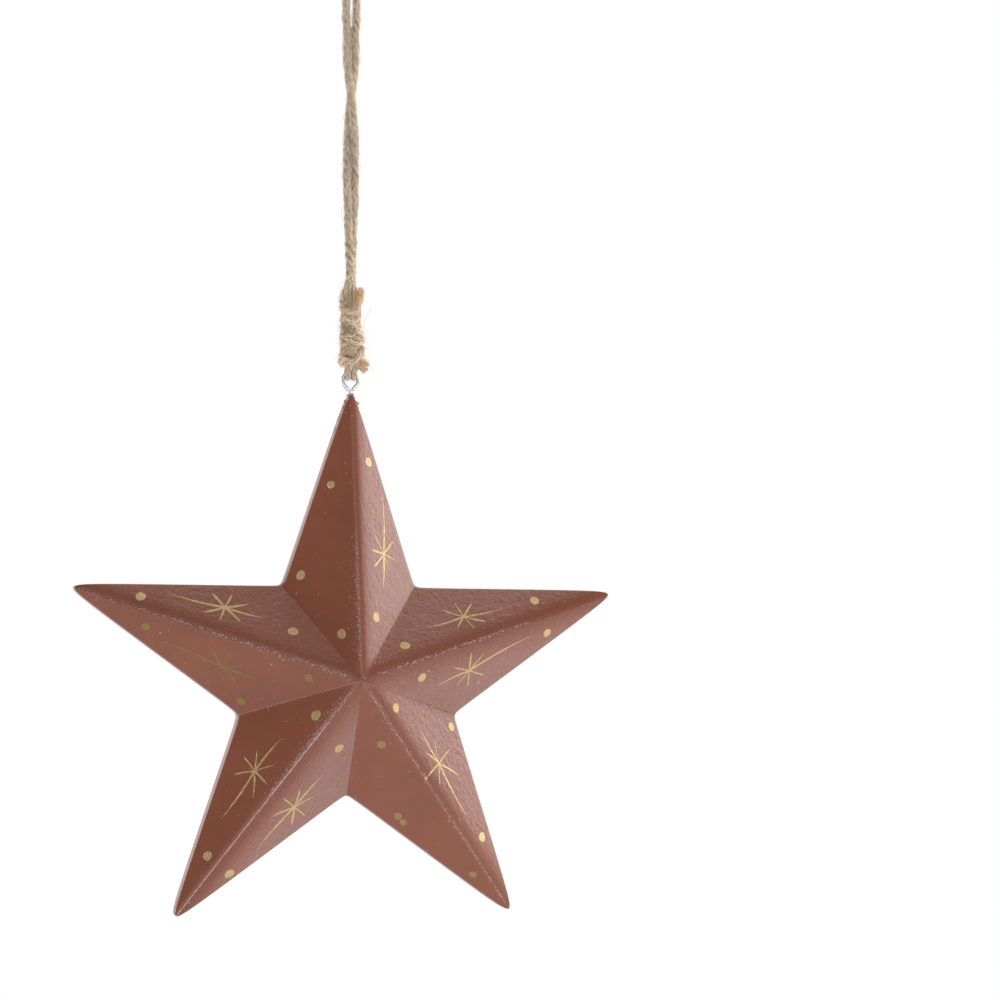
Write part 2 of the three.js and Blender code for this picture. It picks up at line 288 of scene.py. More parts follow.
def closed_mesh(name, rings, values=None):
    """Mesh of tubes from points of shape (tubes, rings, around, 3), each end closed by a fan round the
    middle of its last ring. values are point attributes, with one number or three for each ring point."""
    tubes, count, around = rings.shape[:3]

    def with_ends(array):
        flat = array.reshape(tubes, count * around, -1)
        ends = [array[:, k].mean(axis=1).reshape(tubes, 1, -1) for k in (0, -1)]
        whole = np.concatenate([flat, *ends], axis=1)
        return whole.reshape(tubes * (count * around + 2), -1).astype(np.float32)

    row, column = np.meshgrid(np.arange(count - 1) * around, np.arange(around), indexing="ij")
    following = (column + 1) % around
    quads = [row + column, row + following, row + around + following, row + around + column]
    k = np.arange(around)
    after = (k + 1) % around
    first, last = 0 * k + count * around, 0 * k + count * around + 1
    end = (count - 1) * around
    fans = np.hstack([(first, after, k), (end + k, end + after, last)]).T
    shift = (np.arange(tubes) * (count * around + 2))[:, None, None]
    quads = (np.stack(quads, axis=-1).reshape(1, -1, 4) + shift).reshape(-1, 4)
    fans = (fans[None] + shift).reshape(-1, 3)
    mesh = bpy.data.meshes.new(name)
    points = with_ends(rings)
    mesh.vertices.add(len(points))
    mesh.vertices.foreach_set("co", points.ravel())
    mesh.loops.add(quads.size + fans.size)
    mesh.loops.foreach_set("vertex_index", np.concatenate([quads.ravel(), fans.ravel()]).astype(np.int32))
    starts = np.concatenate([np.arange(len(quads)) * 4, quads.size + np.arange(len(fans)) * 3])
    mesh.polygons.add(len(starts))
    mesh.polygons.foreach_set("loop_start", starts.astype(np.int32))
    mesh.polygons.foreach_set("use_smooth", np.ones(len(starts), bool))
    mesh.update(calc_edges=True)
    for key, array in (values or {}).items():
        kind, field = ("FLOAT_VECTOR", "vector") if array.ndim == 4 else ("FLOAT", "value")
        mesh.attributes.new(key, kind, "POINT").data.foreach_set(field, with_ends(array).ravel())
    return mesh


def linked(name, data):
    """A new object in the scene."""
    made = bpy.data.objects.new(name, data)
    bpy.context.scene.collection.objects.link(made)
    return made


def piece(name, rings, material, values=None):
    """Object of one closed mesh, in the scene and with its material."""
    mesh = closed_mesh(name, rings, values)
    mesh.materials.append(material)
    made = linked(name, mesh)
    return made


def yarn_piece(name, yarns, material):
    """Piece of yarns with as many rings each, as yarn() gives them."""
    rings, strand, crown = (np.stack(part) for part in zip(*yarns))
    return piece(name, rings, material, {"strand": strand, "crown": crown})


def fibre_piece(name, rings, twine, tone):
    """Piece of single fibres in one of the tones of the jute."""
    colour = {
        "pale_jute": twine.pale,
        "white_hair": tint(twine.pale, 1.15),
        "straw_jute": tint(twine.fibre, 1.25),
        "dark_jute": twine.groove,
        "blush_jute": (1, 0.81, 0.66),
        "warm_jute": (0.86, 0.6, 0.36),
    }[tone]
    return piece(name, rings, shared(loose_jute, tone, colour))


def leaning(side, back, up):
    """Points of the hanging star, which leans about the eye's top wire, from distances to it."""
    lower = back * math.sin(LEAN) + up * math.cos(LEAN) + WIRE_HEIGHT
    return np.stack([side, back * math.cos(LEAN) - up * math.sin(LEAN), lower], axis=-1)


class StarShape:
    """The star's surface. A turn is counted clockwise from the top tip, seen from the front."""

    def __init__(self, star, eye):
        self.star = star
        self.from_back = eye.from_back
        self.sharp = star.width / 2 / math.cos(math.pi / 10) + star.tip_set_back
        across = self.sharp - star.inner_radius * math.cos(TIP_ANGLE)
        self.normal = math.atan2(across, star.inner_radius * math.sin(TIP_ANGLE))
        self.distance = self.sharp * math.cos(self.normal)
        self.radius = self.sharp - star.tip_set_back
        self.eye_top = eye.above_wood + (eye.outer_width - eye.wire) / 2

    def edge_share(self, radius, angle, ridge, valley):
        """Share of the way from the centre to the straight edge. The creases at an arm's ridge and in its
        valleys are rounded into hyperbolas of the given softness."""
        from_ridge = radius * np.sin(angle)
        from_valley = radius * np.sin(TIP_ANGLE - angle)
        plane = radius * np.cos(angle - self.normal)
        rise = math.sin(self.normal) * (np.hypot(from_ridge, ridge) - from_ridge)
        dip = math.sin(self.normal - TIP_ANGLE) * (np.hypot(from_valley, valley) - from_valley)
        return (plane + rise - dip) / self.distance

    def outline(self, angle):
        """Radius at which the edge share is 1, found by halving the range."""
        low, high = np.zeros(np.shape(angle)), np.full(np.shape(angle), self.sharp)
        soft = self.star.tip_set_back / math.tan(self.normal)
        for _ in range(40):
            middle = (low + high) / 2
            inside = self.edge_share(middle, angle, soft, self.star.inner_softness) < 1
            low, high = np.where(inside, middle, low), np.where(inside, high, middle)
        return low

    def fold(self, turn):
        """Angle from the nearest tip."""
        return np.abs((turn + TIP_ANGLE) % (2 * TIP_ANGLE) - TIP_ANGLE)

    def front(self, radius, turn):
        """Height of the painted front above the back: the facets, plus lumps of two sizes, and less an
        exponential of the distance from the ridge, which eases the facets into it, least on the top arm."""
        share = self.edge_share(radius, self.fold(turn), self.star.ridge_softness, self.star.valley_softness)
        plan = np.stack([radius * np.sin(turn), radius * np.cos(turn), 0 * turn], axis=-1)
        lumps = 0.65 * lattice_field(plan, 9 * MM, 3) + 0.35 * lattice_field(plan, 3.6 * MM, 4)
        fade = np.clip((1 - share) * 6, 0, 1)
        crisp = np.clip((np.cos(turn) - math.cos(TIP_ANGLE)) / (1 - math.cos(TIP_ANGLE)), 0, 1)
        near_ridge = np.exp(-radius * np.sin(self.fold(turn)) / RIDGE_EASE)
        uneven = self.star.unevenness * lumps - self.star.ridge_wear * (1 - 0.8 * crisp) * near_ridge
        return self.star.side_wall + self.star.relief * (1 - share) + uneven * fade

    def place(self, radius, turn, height):
        """Points of the hanging star, from heights above its back."""
        up = radius * np.cos(turn) - self.eye_top - self.radius
        return leaning(radius * np.sin(turn), self.from_back - height, up)


# Facets by name: number of the arm, clockwise from the top, and the side of its ridge
FACETS = {
    "top_left": (0, -1),
    "top_right": (0, 1),
    "right_upper": (1, -1),
    "right_lower": (1, 1),
    "lower_right_outer": (2, -1),
    "lower_right_inner": (2, 1),
    "lower_left_inner": (3, -1),
    "lower_left_outer": (3, 1),
    "left_lower": (4, -1),
    "left_upper": (4, 1),
}

# How rough the paint was brushed on each facet, from 0 to 1, which also sets the painted shade beside its
# ridge
GRAIN_AND_RIDGE_SHADE = [0.08, 0.45, 1, 1, 0.6, 0.03, 0.8, 0.15, 0.03, 1]

# How far a painted sheen pales each facet away from its ridge, from 0 to 1, in the same order
PAINTED_SHEEN = [0, 0.15, 0.25, 0.6, 0.25, 0, 0.75, 0, 0, 0]

# Wear of each arm's ridge, whose pale specks and line are lightened as painted glints, clockwise from the
# top: density of specks, width of their band in millimetres before and after the ridge, share of the arm at
# which they end, and strength of the line
RIDGE_WEAR_AND_GLINT = [
    (0.53, 5, 0.9, 0.6, 0),
    (0.7, 1.2, 2, 0.8, 0.35),
    (0.74, 1.3, 1.2, 1.2, 0.62),
    (0.7, 0.8, 4.2, 0.62, 0.8),
    (0.68, 2.4, 1.4, 1.2, 0.45),
]


def fold_angles(count):
    """Angles from a ridge to a valley, close together at both ends, where the surface bends."""
    fine = np.linspace(0, 36, 4000)
    density = 1 / (fine + 0.5) + 0.55 / (37.2 - fine) + 0.04
    share = np.concatenate([[0], np.cumsum((density[1:] + density[:-1]) / 2)])
    return np.radians(np.interp(np.arange(count) / count, share / share[-1], fine))


def star_rings(shape, per_sector=80):
    """Rings of the whole star from the middle of its front to the middle of its back: the facets, a round
    edge (a quadratic curve), the side wall with shallow waves, the back's round edge and the flat back."""
    star = shape.star
    up = fold_angles(per_sector)
    down = np.append(up[1:], TIP_ANGLE)[::-1]
    sectors = [(sector * TIP_ANGLE + up, (sector + 2) * TIP_ANGLE - down) for sector in range(0, 10, 2)]
    turn = np.concatenate([part for pair in sectors for part in pair])
    fold = shape.fold(turn)
    outline = shape.outline(fold)
    arm = np.floor((turn + TIP_ANGLE) / (2 * TIP_ANGLE)) % 5
    side = np.where((turn + TIP_ANGLE) % (2 * TIP_ANGLE) < TIP_ANGLE, -1, 1)
    facet = (2 * arm + (side > 0)).astype(int)
    beside_left_low = (arm == 3) & (side > 0) | (arm == 4) & (side < 0)
    rings, brush, worn, bloom = [], [], [], []

    def add_plain(radius, height, back):
        """A ring of the wall or the back, without wear. The back's paint runs across the whole star."""
        rings.append(shape.place(radius, turn, height))
        if back:
            brushed = [radius * np.sin(turn), 0.3 + radius * np.cos(turn), height]
        else:
            brushed = [radius * np.cos(fold), side * (0.05 + height), height + 0.05 * arm]
        brush.append(np.stack(brushed, axis=-1))
        worn.append(np.broadcast_to([0, 0, 0.3], brush[-1].shape))
        bloom.append(0 * turn)

    def add(radius, height):
        """A ring of the front, with the specks and pale lines of its ridges, lightened as painted glints,
        and the painted highlight line of one valley.
        """
        rings.append(shape.place(radius, turn, height))
        away = radius * np.sin(fold)
        brush.append(np.stack([radius * np.cos(fold), side * away, height + 0.05 * arm], axis=-1))
        share = np.clip(radius / shape.radius, 0, 1)
        from_valley = radius * np.sin(TIP_ANGLE - fold)
        density, before, after, end, bare_glint = np.array(RIDGE_WEAR_AND_GLINT)[arm.astype(int)].T
        width = np.where(side < 0, before, after) * MM * (1.4 - 0.8 * share)
        fading = np.clip((end - share) / 0.15, 0.1, 1) * np.clip(share / 0.06, 0, 1)
        specks = density * (1 - away / width) * fading
        # A sanded line along the ridge, lightened as a painted glint
        line = np.maximum(bare_glint * (1 - away / BARE_GLINT_LINE), 0) * np.clip(share / 0.2, 0, 1)
        # Painted highlight: a pale line in the valley between the lower left arm's outer facet and the left
        # arm's lower facet
        line = np.maximum(line, 0.66 * beside_left_low * (1 - from_valley / VALLEY_GLINT_LINE))
        # Painted sheen: the colour is paled away from the ridge, standing in for the gloss there
        bloom.append(np.array(PAINTED_SHEEN)[facet] * np.clip((away - 2 * MM) / (9 * MM), 0, 1))
        worn.append(np.clip(np.stack([specks, line, np.array(GRAIN_AND_RIDGE_SHADE)[facet]], axis=-1), 0, 1))

    rim = star.edge_round
    for share in np.linspace(0.008, 1, 86):
        radius = share * (outline - rim)
        add(radius, shape.front(radius, turn))
    inner, corner = shape.front(outline - rim, turn), shape.front(outline, turn)
    for t in np.linspace(0.2, 1, 5):
        radius = outline - rim * (1 - t) ** 2
        add(radius, (1 - t) ** 2 * inner + 2 * t * (1 - t) * corner + t * t * (corner - rim))
    for height in np.linspace(0.88, 0.09, 9) * star.side_wall:
        around = np.stack([outline * np.sin(turn), outline * np.cos(turn), height + 0 * turn], axis=-1)
        waves = 0.6 * lattice_field(around, 7 * MM, 11) + 0.4 * lattice_field(around, 2.5 * MM, 12)
        wave = star.unevenness * waves * math.sin(math.pi * height / star.side_wall)
        add_plain(outline + wave, height + 0 * turn, False)
    for t in np.linspace(0, 1, 4):
        add_plain(outline - BACK_ROUND * t * t, BACK_ROUND * (1 - t) ** 2 + 0 * turn, t > 0.9)
    for share in (0.97, 0.9, 0.8, 0.65, 0.5, 0.35, 0.2, 0.08, 0.01):
        add_plain(share * (outline - BACK_ROUND), 0 * turn, True)
    values = {"brush": brush, "worn": worn, "bloom": bloom}
    return np.stack(rings)[None], {key: np.stack(value)[None] for key, value in values.items()}


def yarn(line, towards, diameter, lay, plies, seed, fluff=0.06):
    """Plied yarn along a line. The section is the outline of round plies pressed together: the far side of
    a circle seen from the yarn's middle. The plies turn left-handed once in each lay, and the surface is
    roughened with fields that are stretched along the plies. Gives the rings, and for each point its
    place in the yarn (round the plies and along them) and how high it stands out of the groove."""
    around = 42
    theta = 2 * np.pi * np.arange(around) / around
    along = distance_along(line)
    from_ply = np.abs((theta * plies / (2 * np.pi) + 0.5) % 1 - 0.5) * 2 * np.pi / plies
    offset = 0.42 if plies > 2 else 0.3
    size = np.broadcast_to(diameter, len(line))[:, None] / 2
    section = offset * np.cos(from_ply) + np.sqrt((1 - offset) ** 2 - (offset * np.sin(from_ply)) ** 2)
    grid = np.stack([np.cos(theta) * size, np.sin(theta) * size, along[:, None] + 0 * theta], axis=-1)
    streaks = lattice_field(grid * (1, 1, 0.16), 0.28 * MM, seed)
    swell = lattice_field(grid * (0.3, 0.3, 1), 5 * MM, seed + 1)
    radius = size * (section[None] * (1 + fluff * swell) + 0.05 * streaks)
    angle = theta[None] - 2 * np.pi * along[:, None] / lay
    crown = np.broadcast_to(np.cos(from_ply * plies / 2), radius.shape) + 0.25 * streaks
    return rings_round(line, towards, angle, radius), grid, crown


def fibres(roots, directions, lengths, thickness, bend, seed, steps=7):
    """Rings of fine fibres. Each runs from its root along its direction, bends sideways with the square of
    the distance, waves once or twice, and tapers to its end."""
    random = np.random.default_rng(seed)
    count = len(roots)
    directions = unit(directions)
    side = unit(np.cross(directions, unit(random.normal(size=(count, 3)))))
    other = np.cross(directions, side)
    t = np.linspace(0, 1, steps)[None, :, None]
    curl = random.normal(size=(count, 1, 1)) * bend
    wave = random.uniform(0.5, 1.6, (count, 1, 1)) * 2 * np.pi
    sway = random.uniform(-1, 1, (count, 1, 1)) * bend * 0.22
    bent = curl * t * t * side[:, None] + sway * np.sin(wave * t) * other[:, None]
    path = roots[:, None] + lengths[:, None, None] * (t * directions[:, None] + bent)
    return fine_tubes(path, other[:, None], thickness / 2 * (1 - 0.75 * t[..., 0] ** 2))


def lying_fibres(line, towards, radius, lay, lengths, lift, thickness, count, seed, steps=9):
    """Rings of loose fibres that lie on a yarn: each starts at a random place, turns round the yarn once in
    each lay but drifts, and lifts off the surface as a half wave. The last sizes are in millimetres."""
    random = np.random.default_rng(seed)
    along = distance_along(line)
    start = random.uniform(0, along[-1], count)
    length = random.uniform(*lengths, count) * MM * random.choice([-1, 1], count)
    t = np.linspace(0, 1, steps)[None]
    at = np.clip(start[:, None] + length[:, None] * t, 0, along[-1])
    drift = random.normal(0, 0.8, (count, 1)) * t + random.normal(0, 0.25, (count, 1)) * np.sin(5 * t)
    angle = random.uniform(0, 2 * np.pi, (count, 1)) - 2 * np.pi * at / lay + drift
    lifted = random.uniform(0.1, 1, (count, 1)) ** 2 * np.sin(np.pi * np.clip(t, 0, 0.92))
    out, over = (unit(interpolated(at, along, rows)) for rows in frames(line, towards))
    facing = np.cos(angle)[..., None] * out + np.sin(angle)[..., None] * over
    path = interpolated(at, along, line) + (radius + lift * MM * lifted)[..., None] * facing
    return fine_tubes(path, facing, slim(t, thickness * MM))


def slim(t, thickness):
    """Radius of a fibre that is thinner towards both ends."""
    return thickness / 2 * (1 - 0.7 * np.abs(2 * t - 1) ** 3)


def tuft(line, towards, radii, thickness, count, seed, rows=9):
    """Rings of a brush of cut fibres: each keeps its place in a round bundle, whose radius goes from the
    first to the second and partly back as a sine, ends at its own length and waves a little."""
    random = np.random.default_rng(seed)
    along = distance_along(line) / distance_along(line)[-1]
    disc = np.sqrt(random.random((count, 1))) * np.exp(2j * np.pi * random.random((count, 1)))
    t = np.linspace(0, 1, rows)[None] * random.uniform(0.6, 1, (count, 1))
    radius = radii[0] + (radii[1] - radii[0]) * np.sin(0.7 * np.pi * t)
    waving = 0.28 * radii[1] * t * np.exp(2j * np.pi * random.random((count, 1)))
    offset = disc * radius + waving * np.sin(4 * t + 6 * random.random((count, 1)))
    normal, binormal = (interpolated(t, along, array) for array in frames(line, towards))
    offset = offset[..., None] * MM
    path = interpolated(t, along, line) + offset.real * normal + offset.imag * binormal
    thinner = 1 - 0.4 * np.linspace(0, 1, rows) ** 3
    size = thickness * MM / 2 * random.uniform(0.7, 1.3, (count, 1)) * thinner
    return fine_tubes(path, TOWARDS_CAMERA, size, 4)


def surface_roots(rings, count, seed):
    """Random points of a yarn's surface and the directions in which it faces there."""
    random = np.random.default_rng(seed)
    row = random.integers(0, rings.shape[0], count)
    column = random.integers(0, rings.shape[1], count)
    root = rings[row, column]
    return root, unit(root - rings[row].mean(axis=1))


# Route of the twine


def twine_heights(twine):
    """Heights of the whipping's parts above the eye's top wire, and distances across the bundle."""
    bottom = BEND_HEIGHT - WIRE_HEIGHT + 0.5 * MM
    first = bottom + twine.winding / 2
    last = first + twine.turns * twine.pitch
    top = last + 1.5 * twine.winding
    return {
        "bottom": bottom,
        "first": first,
        "last": last,
        "strand_top": last + twine.winding / 2,
        "top": top,
        "spacing": twine.strand + twine.fit,
        "side": twine.strand / 2 + twine.fit + twine.winding / 2,
    }


def bundle_turn(height, at):
    """Direction of the two strands across the axis: along Y at both ends of the whipping, turned by up to
    40 degrees in between."""
    share = np.clip((height - at["first"]) / (at["last"] - at["first"]), 0, 1)
    return np.pi / 2 - np.radians(40) * np.sin(np.pi * share) ** 2


def oval(turn, height, at):
    """Distance from the axis to the winding twine, which goes round both strands."""
    return at["side"] + at["spacing"] / 2 * np.abs(np.cos(turn - bundle_turn(height, at))) ** 1.5


def round_axis(radius, turn, height):
    """Points round the twine's upright axis, from heights above the eye's top wire."""
    return np.stack([radius * np.cos(turn), radius * np.sin(turn), height + WIRE_HEIGHT], axis=-1)


def above_wire(points, height=0):
    """Points in metres from points in millimetres above the eye's top wire, or above a height over it."""
    return np.array(points) * MM + (0, 0, WIRE_HEIGHT + height)


def strand_points(side, heights, at):
    """Points of one strand inside the whipping."""
    return round_axis(side * at["spacing"] / 2, bundle_turn(heights, at), heights)


def leg_points(side, at, twine):
    """One leg above the whipping, from height, direction of the pair of legs and half their distance."""
    near = (twine.diameter + twine.fit) / 2
    bend = twine.loop_bend
    route = np.array(
        [
            (9, 66, near), (20, 60, near), (35, 30, near), (50, 0, near), (64, -45, near), (77, -90, near),
            (87, -140, near), (93, -179, near), (96, -180, near), (99, -180, near), (104, -180, near),
            (108.5, -180, 1.2 * near), (112.5, -180, 1.3 * near), (116.5, -180, 1.3 * near),
            (121, -180, 0.54 * bend), ((twine.loop_length - bend) / MM, -180, bend),
        ]
    )  # fmt: skip
    return round_axis(side * route[:, 2], np.radians(route[:, 1]), at["top"] + route[:, 0] * MM)


def loop_line(twine, step):
    """The free twine: up the standing leg, over the hook in a half circle and down the winding leg."""
    at = twine_heights(twine)
    start = strand_points(1, np.array([at["strand_top"] + twine.fit]), at)
    end = np.array([[-at["side"], 0, WIRE_HEIGHT + at["top"] + twine.fit]])
    turn = np.pi * np.arange(1, 8) / 8
    height = WIRE_HEIGHT + at["top"] + twine.loop_length - twine.loop_bend + twine.loop_bend * np.sin(turn)
    bend = np.stack([-twine.loop_bend * np.cos(turn), 0 * turn, height], axis=-1)
    rise = (0, 0, twine.diameter)
    over = (0, 0, WIRE_HEIGHT + at["top"])
    shoulder = [
        over + np.array([-0.4 * at["side"], -0.45 * at["spacing"], 2.3 * twine.diameter]),
        over + np.array([-0.74 * at["side"], -0.27 * at["spacing"], 1.4 * twine.diameter]),
        over + np.array([-at["side"], 0, twine.fit + twine.diameter / 2]),
    ]
    rising, falling = leg_points(1, at, twine), leg_points(-1, at, twine)[::-1]
    return smooth_line(np.vstack([start, start + rise, rising, bend, falling, shoulder, end]), step)


def winding_line(twine, step):
    """The whipping: a straight run down at the left, turns round an oval that holds both strands, each
    lower and nearer or further by a smooth random amount, fuller at the lower right and in one lump at the
    lower left, and the run to the cut end at the lower right."""
    at = twine_heights(twine)
    turned = np.arange(3, round(twine.turns * 24) + 1) * 2 * np.pi / 24
    turn = np.pi + turned
    height = at["last"] - twine.pitch * turned / (2 * np.pi)
    places = np.stack([3 * np.cos(turn), 3 * np.sin(turn), 2 * turned / np.pi], axis=-1)
    middle = np.sin(np.pi * np.clip(turned / turned[-1], 0, 1)) ** 0.5
    lower = np.clip(turned / turned[-1] * 1.5, 0, 1)
    knot = np.exp(-(((turned / (2 * np.pi) - 6.0) / 0.2) ** 2))
    sides = 0.3 * MM + 0.7 * MM * np.abs(np.cos(turn))
    radius = oval(turn, height, at) - sides + 1.7 * MM * np.clip(np.cos(turn), 0, 1) * lower + 1.3 * MM * knot
    radius = radius + 0.42 * MM * lattice_field(places, 1.5, 21) * middle
    height = height + 0.65 * MM * lattice_field(places, 1.9, 22) * middle
    turns = round_axis(radius, turn, height)
    run = above_wire([(-at["side"] / MM, 0, -drop) for drop in (0, 1.3, 2.6)], at["top"])
    reach = 5.4 * MM - turns[-1, 0]
    cut = [(0.5 * reach, -0.04 * reach, -1.1 * MM), (0.9 * reach, -0.1 * reach, -3.3 * MM)]
    end = turns[-1] + np.array(cut)
    return smooth_line(np.vstack([run, turns, end]), step)


def from_axis(line):
    """Directions from the twine's upright axis to a line."""
    return unit(line * (1, 1, 0) + (1e-6, 0, 0))


def wrap_fibres(at, twine, count, seed, rows=9):
    """Rings of loose fibres that lie round the whipping: each climbs at its own slope, bends as a sine and
    follows the oval of the turns."""
    random = np.random.default_rng(seed)
    t = np.linspace(0, 1, rows)[None]
    slope = random.normal(0, 0.42, (count, 1))
    reach = random.uniform(2.5 * MM, 10 * MM, (count, 1))
    radius = at["side"] + at["spacing"] / 2 + twine.winding / 2
    turn = random.uniform(0, 2 * np.pi, (count, 1)) + reach / radius * t * np.cos(slope)
    start = random.uniform(at["bottom"], at["last"] + twine.winding / 2, (count, 1))
    height = start + reach * t * np.sin(slope)
    height = height + 0.7 * MM * np.sin(4 * t + random.uniform(0, 6, (count, 1)))
    height = np.clip(height, at["bottom"] + 0.9 * MM, at["last"] + 0.6 * twine.winding)
    out = oval(turn, height, at) + twine.winding / 2 - 0.8 * MM * np.abs(np.cos(turn))
    path = round_axis(out + random.uniform(-0.6, 0.3, (count, 1)) * MM, turn, height)
    return fine_tubes(path, from_axis(path), slim(t, random.uniform(0.1, 0.2, (count, 1)) * MM))


def crossing_routes(at, count, seed):
    """Routes of loose wraps over the turns of the whipping: each goes round a part of the oval at its own
    slope, and its ends dip under the turns."""
    random = np.random.default_rng(seed)
    routes = []
    for k in range(count):
        t = np.linspace(0, 1, 7)
        turn = random.uniform(-2.9, -1.6) + np.pi * (k % 3 == 2) + random.uniform(1.7, 2.7) * t
        rise = random.uniform(2, 5.5) * random.choice([-1, 1]) * MM
        middle = at["bottom"] + 2.5 * MM + (at["last"] - at["bottom"] - 3 * MM) * (k + 0.5) / count
        height = middle + rise * (t - 0.5) + 0.4 * MM * np.sin(5 * t + k)
        dip = 1.5 * MM * (1 - np.sin(np.pi * t)) ** 2 + 0.5 * MM * np.abs(np.cos(turn))
        routes.append(round_axis(oval(turn, height, at) + 0.35 * MM - dip, turn, height))
    return routes


# Materials


def node(tree, kind, inputs=None, **settings):
    """A new node. inputs gives its sockets plain values or other nodes' outputs."""
    made = tree.nodes.new(kind)
    for key, value in settings.items():
        setattr(made, key, value)
    for key, value in (inputs or {}).items():
        if isinstance(value, bpy.types.NodeSocket):
            tree.links.new(value, made.inputs[key])
        else:
            made.inputs[key].default_value = value
    return made


def maths(tree, operation, *values):
    """Output of a maths node."""
    return node(tree, "ShaderNodeMath", dict(enumerate(values)), operation=operation).outputs[0]


def between(tree, value, low, high, start=0.0, end=1.0):
    """Output that goes smoothly from start to end as value goes from low to high."""
    inputs = {"Value": value, "From Min": low, "From Max": high, "To Min": start, "To Max": end}
    return node(tree, "ShaderNodeMapRange", inputs, interpolation_type="SMOOTHSTEP").outputs[0]


def mixed(tree, share, first, second):
    """Output that mixes two colours."""
    as_colour = lambda c: c if isinstance(c, bpy.types.NodeSocket) else (*c[:3], 1)
    inputs = {0: share, 6: as_colour(first), 7: as_colour(second)}
    return node(tree, "ShaderNodeMix", inputs, data_type="RGBA").outputs[2]


def noise(tree, vector, scale, detail=3.0, roughness=0.55, stretch=(1, 1, 1), turn=0):
    """Output of a noise pattern on a vector, stretched and turned about Z."""
    mapping = {"Vector": vector, "Rotation": (0, 0, turn), "Scale": stretch}
    placed = node(tree, "ShaderNodeMapping", mapping).outputs[0]
    inputs = {"Vector": placed, "Scale": scale, "Detail": detail, "Roughness": roughness}
    return node(tree, "ShaderNodeTexNoise", inputs).outputs[0]


def product(tree, first, second):
    """Output of first times second."""
    return maths(tree, "MULTIPLY", first, second)


def attribute(tree, name, output="Vector"):
    """Output of a point attribute."""
    return node(tree, "ShaderNodeAttribute", attribute_name=name).outputs[output]


def bumped(tree, height, depth, normal=None):
    """Normal of a surface whose height goes up to depth."""
    inputs = {"Height": height, "Distance": depth, "Strength": 1.0}
    if normal is not None:
        inputs["Normal"] = normal
    return node(tree, "ShaderNodeBump", inputs).outputs[0]


def new_material(name, **plain):
    """A material, its node tree and its object coordinates. plain gives shader inputs their numbers."""
    material = bpy.data.materials.new(name)
    material.use_nodes = True
    tree = material.node_tree
    for key, value in plain.items():
        tree.nodes["Principled BSDF"].inputs[key.replace("_", " ")].default_value = value
    return material, tree, node(tree, "ShaderNodeTexCoord").outputs["Object"]


def shade(tree, **outputs):
    """Link outputs to the inputs of the material's shader."""
    for key, output in outputs.items():
        tree.links.new(output, tree.nodes["Principled BSDF"].inputs[key.replace("_", " ")])


def tint(colour, factor):
    """A colour made darker or lighter."""
    return tuple(min(1.0, c * factor) for c in colour)


def satin_brown(name, star):
    """Satin paint: slight patches of tone, brushed streaks and orange peel in relief along the arms, dents
    and dust, painted shade beside the ridges and a painted sheen away from them, and pale rough specks
    where the ridges are sanded, lightened as painted glints, and a painted highlight line in one valley."""
    material, tree, place = new_material(name, Roughness=star.roughness, Specular_IOR_Level=0.46)
    brush, worn = attribute(tree, "brush"), attribute(tree, "worn")
    patches = between(tree, noise(tree, place, 45, 3), 0.3, 0.7)
    tone = mixed(tree, patches, tint(star.paint, 0.95), tint(star.paint, 1.05))
    specks = noise(tree, brush, 2500, 3, 0.6, stretch=(0.7, 1, 1))
    # Its parts: sanded specks and lines lightened as painted glints, and the grain share, which also sets the
    # painted shade beside the ridges
    wear = node(tree, "ShaderNodeSeparateXYZ", {0: worn}).outputs
    band = maths(tree, "MULTIPLY_ADD", wear["X"], 0.27, specks)
    band = product(tree, between(tree, band, 0.7, 0.76), between(tree, wear["X"], 0.0, 0.1))
    line = between(tree, maths(tree, "ADD", specks, wear["Y"]), 1.0, 1.22)
    worn_glint_flecks = maths(tree, "MAXIMUM", band, line)
    away = maths(tree, "ABSOLUTE", node(tree, "ShaderNodeSeparateXYZ", {0: brush}).outputs["Y"])
    # Painted shade: darker next to the ridges, where the rounded paint catches less gloss
    painted_ridge_shade = product(tree, between(tree, away, 1 * MM, 7 * MM, 1.0, 0.0), wear["Z"])
    tone = mixed(tree, product(tree, painted_ridge_shade, 0.8), tone, tint(star.paint, 0.8))
    # Painted sheen: a paler pink away from the ridges on the glossy facets
    tone = mixed(tree, attribute(tree, "bloom", "Fac"), tone, (0.36, 0.195, 0.165))
    # Sanded specks and lines on the ridges, lightened to a pale pink as painted glints
    tone = mixed(tree, product(tree, worn_glint_flecks, 0.85), tone, (0.72, 0.53, 0.51))
    dust = between(tree, noise(tree, place, 1100, 1, 0.3), 0.77, 0.8)
    tone = mixed(tree, product(tree, dust, 0.7), tone, (0.6, 0.47, 0.43))
    grain = product(tree, between(tree, away, 0.5 * MM, 5 * MM, 0.25, 1.0), wear["Z"])
    strength = product(tree, between(tree, noise(tree, place, 60, 2), 0.3, 0.7, 0.6, 1.0), grain)
    peel = noise(tree, brush, 600, 3, 0.55, stretch=(0.75, 1, 1), turn=0.25)
    streaks = noise(tree, brush, 1500, 2, 0.5, stretch=(0.25, 1, 1), turn=0.12)
    dents = between(tree, noise(tree, brush, 330, 1, 0.5, stretch=(0.5, 1, 1)), 0.16, 0.3)
    normal = bumped(tree, product(tree, dents, grain), 0.24 * MM)
    normal = bumped(tree, product(tree, peel, strength), 0.6 * MM, normal)
    normal = bumped(tree, product(tree, streaks, grain), 0.04 * MM, normal)
    patchy = product(tree, maths(tree, "SUBTRACT", peel, 0.5), grain)
    roughness = maths(tree, "MULTIPLY_ADD", patchy, 0.14, star.roughness)
    shade(tree, Base_Color=tone, Normal=bumped(tree, worn_glint_flecks, 0.1 * MM, normal), Roughness=roughness)
    return material


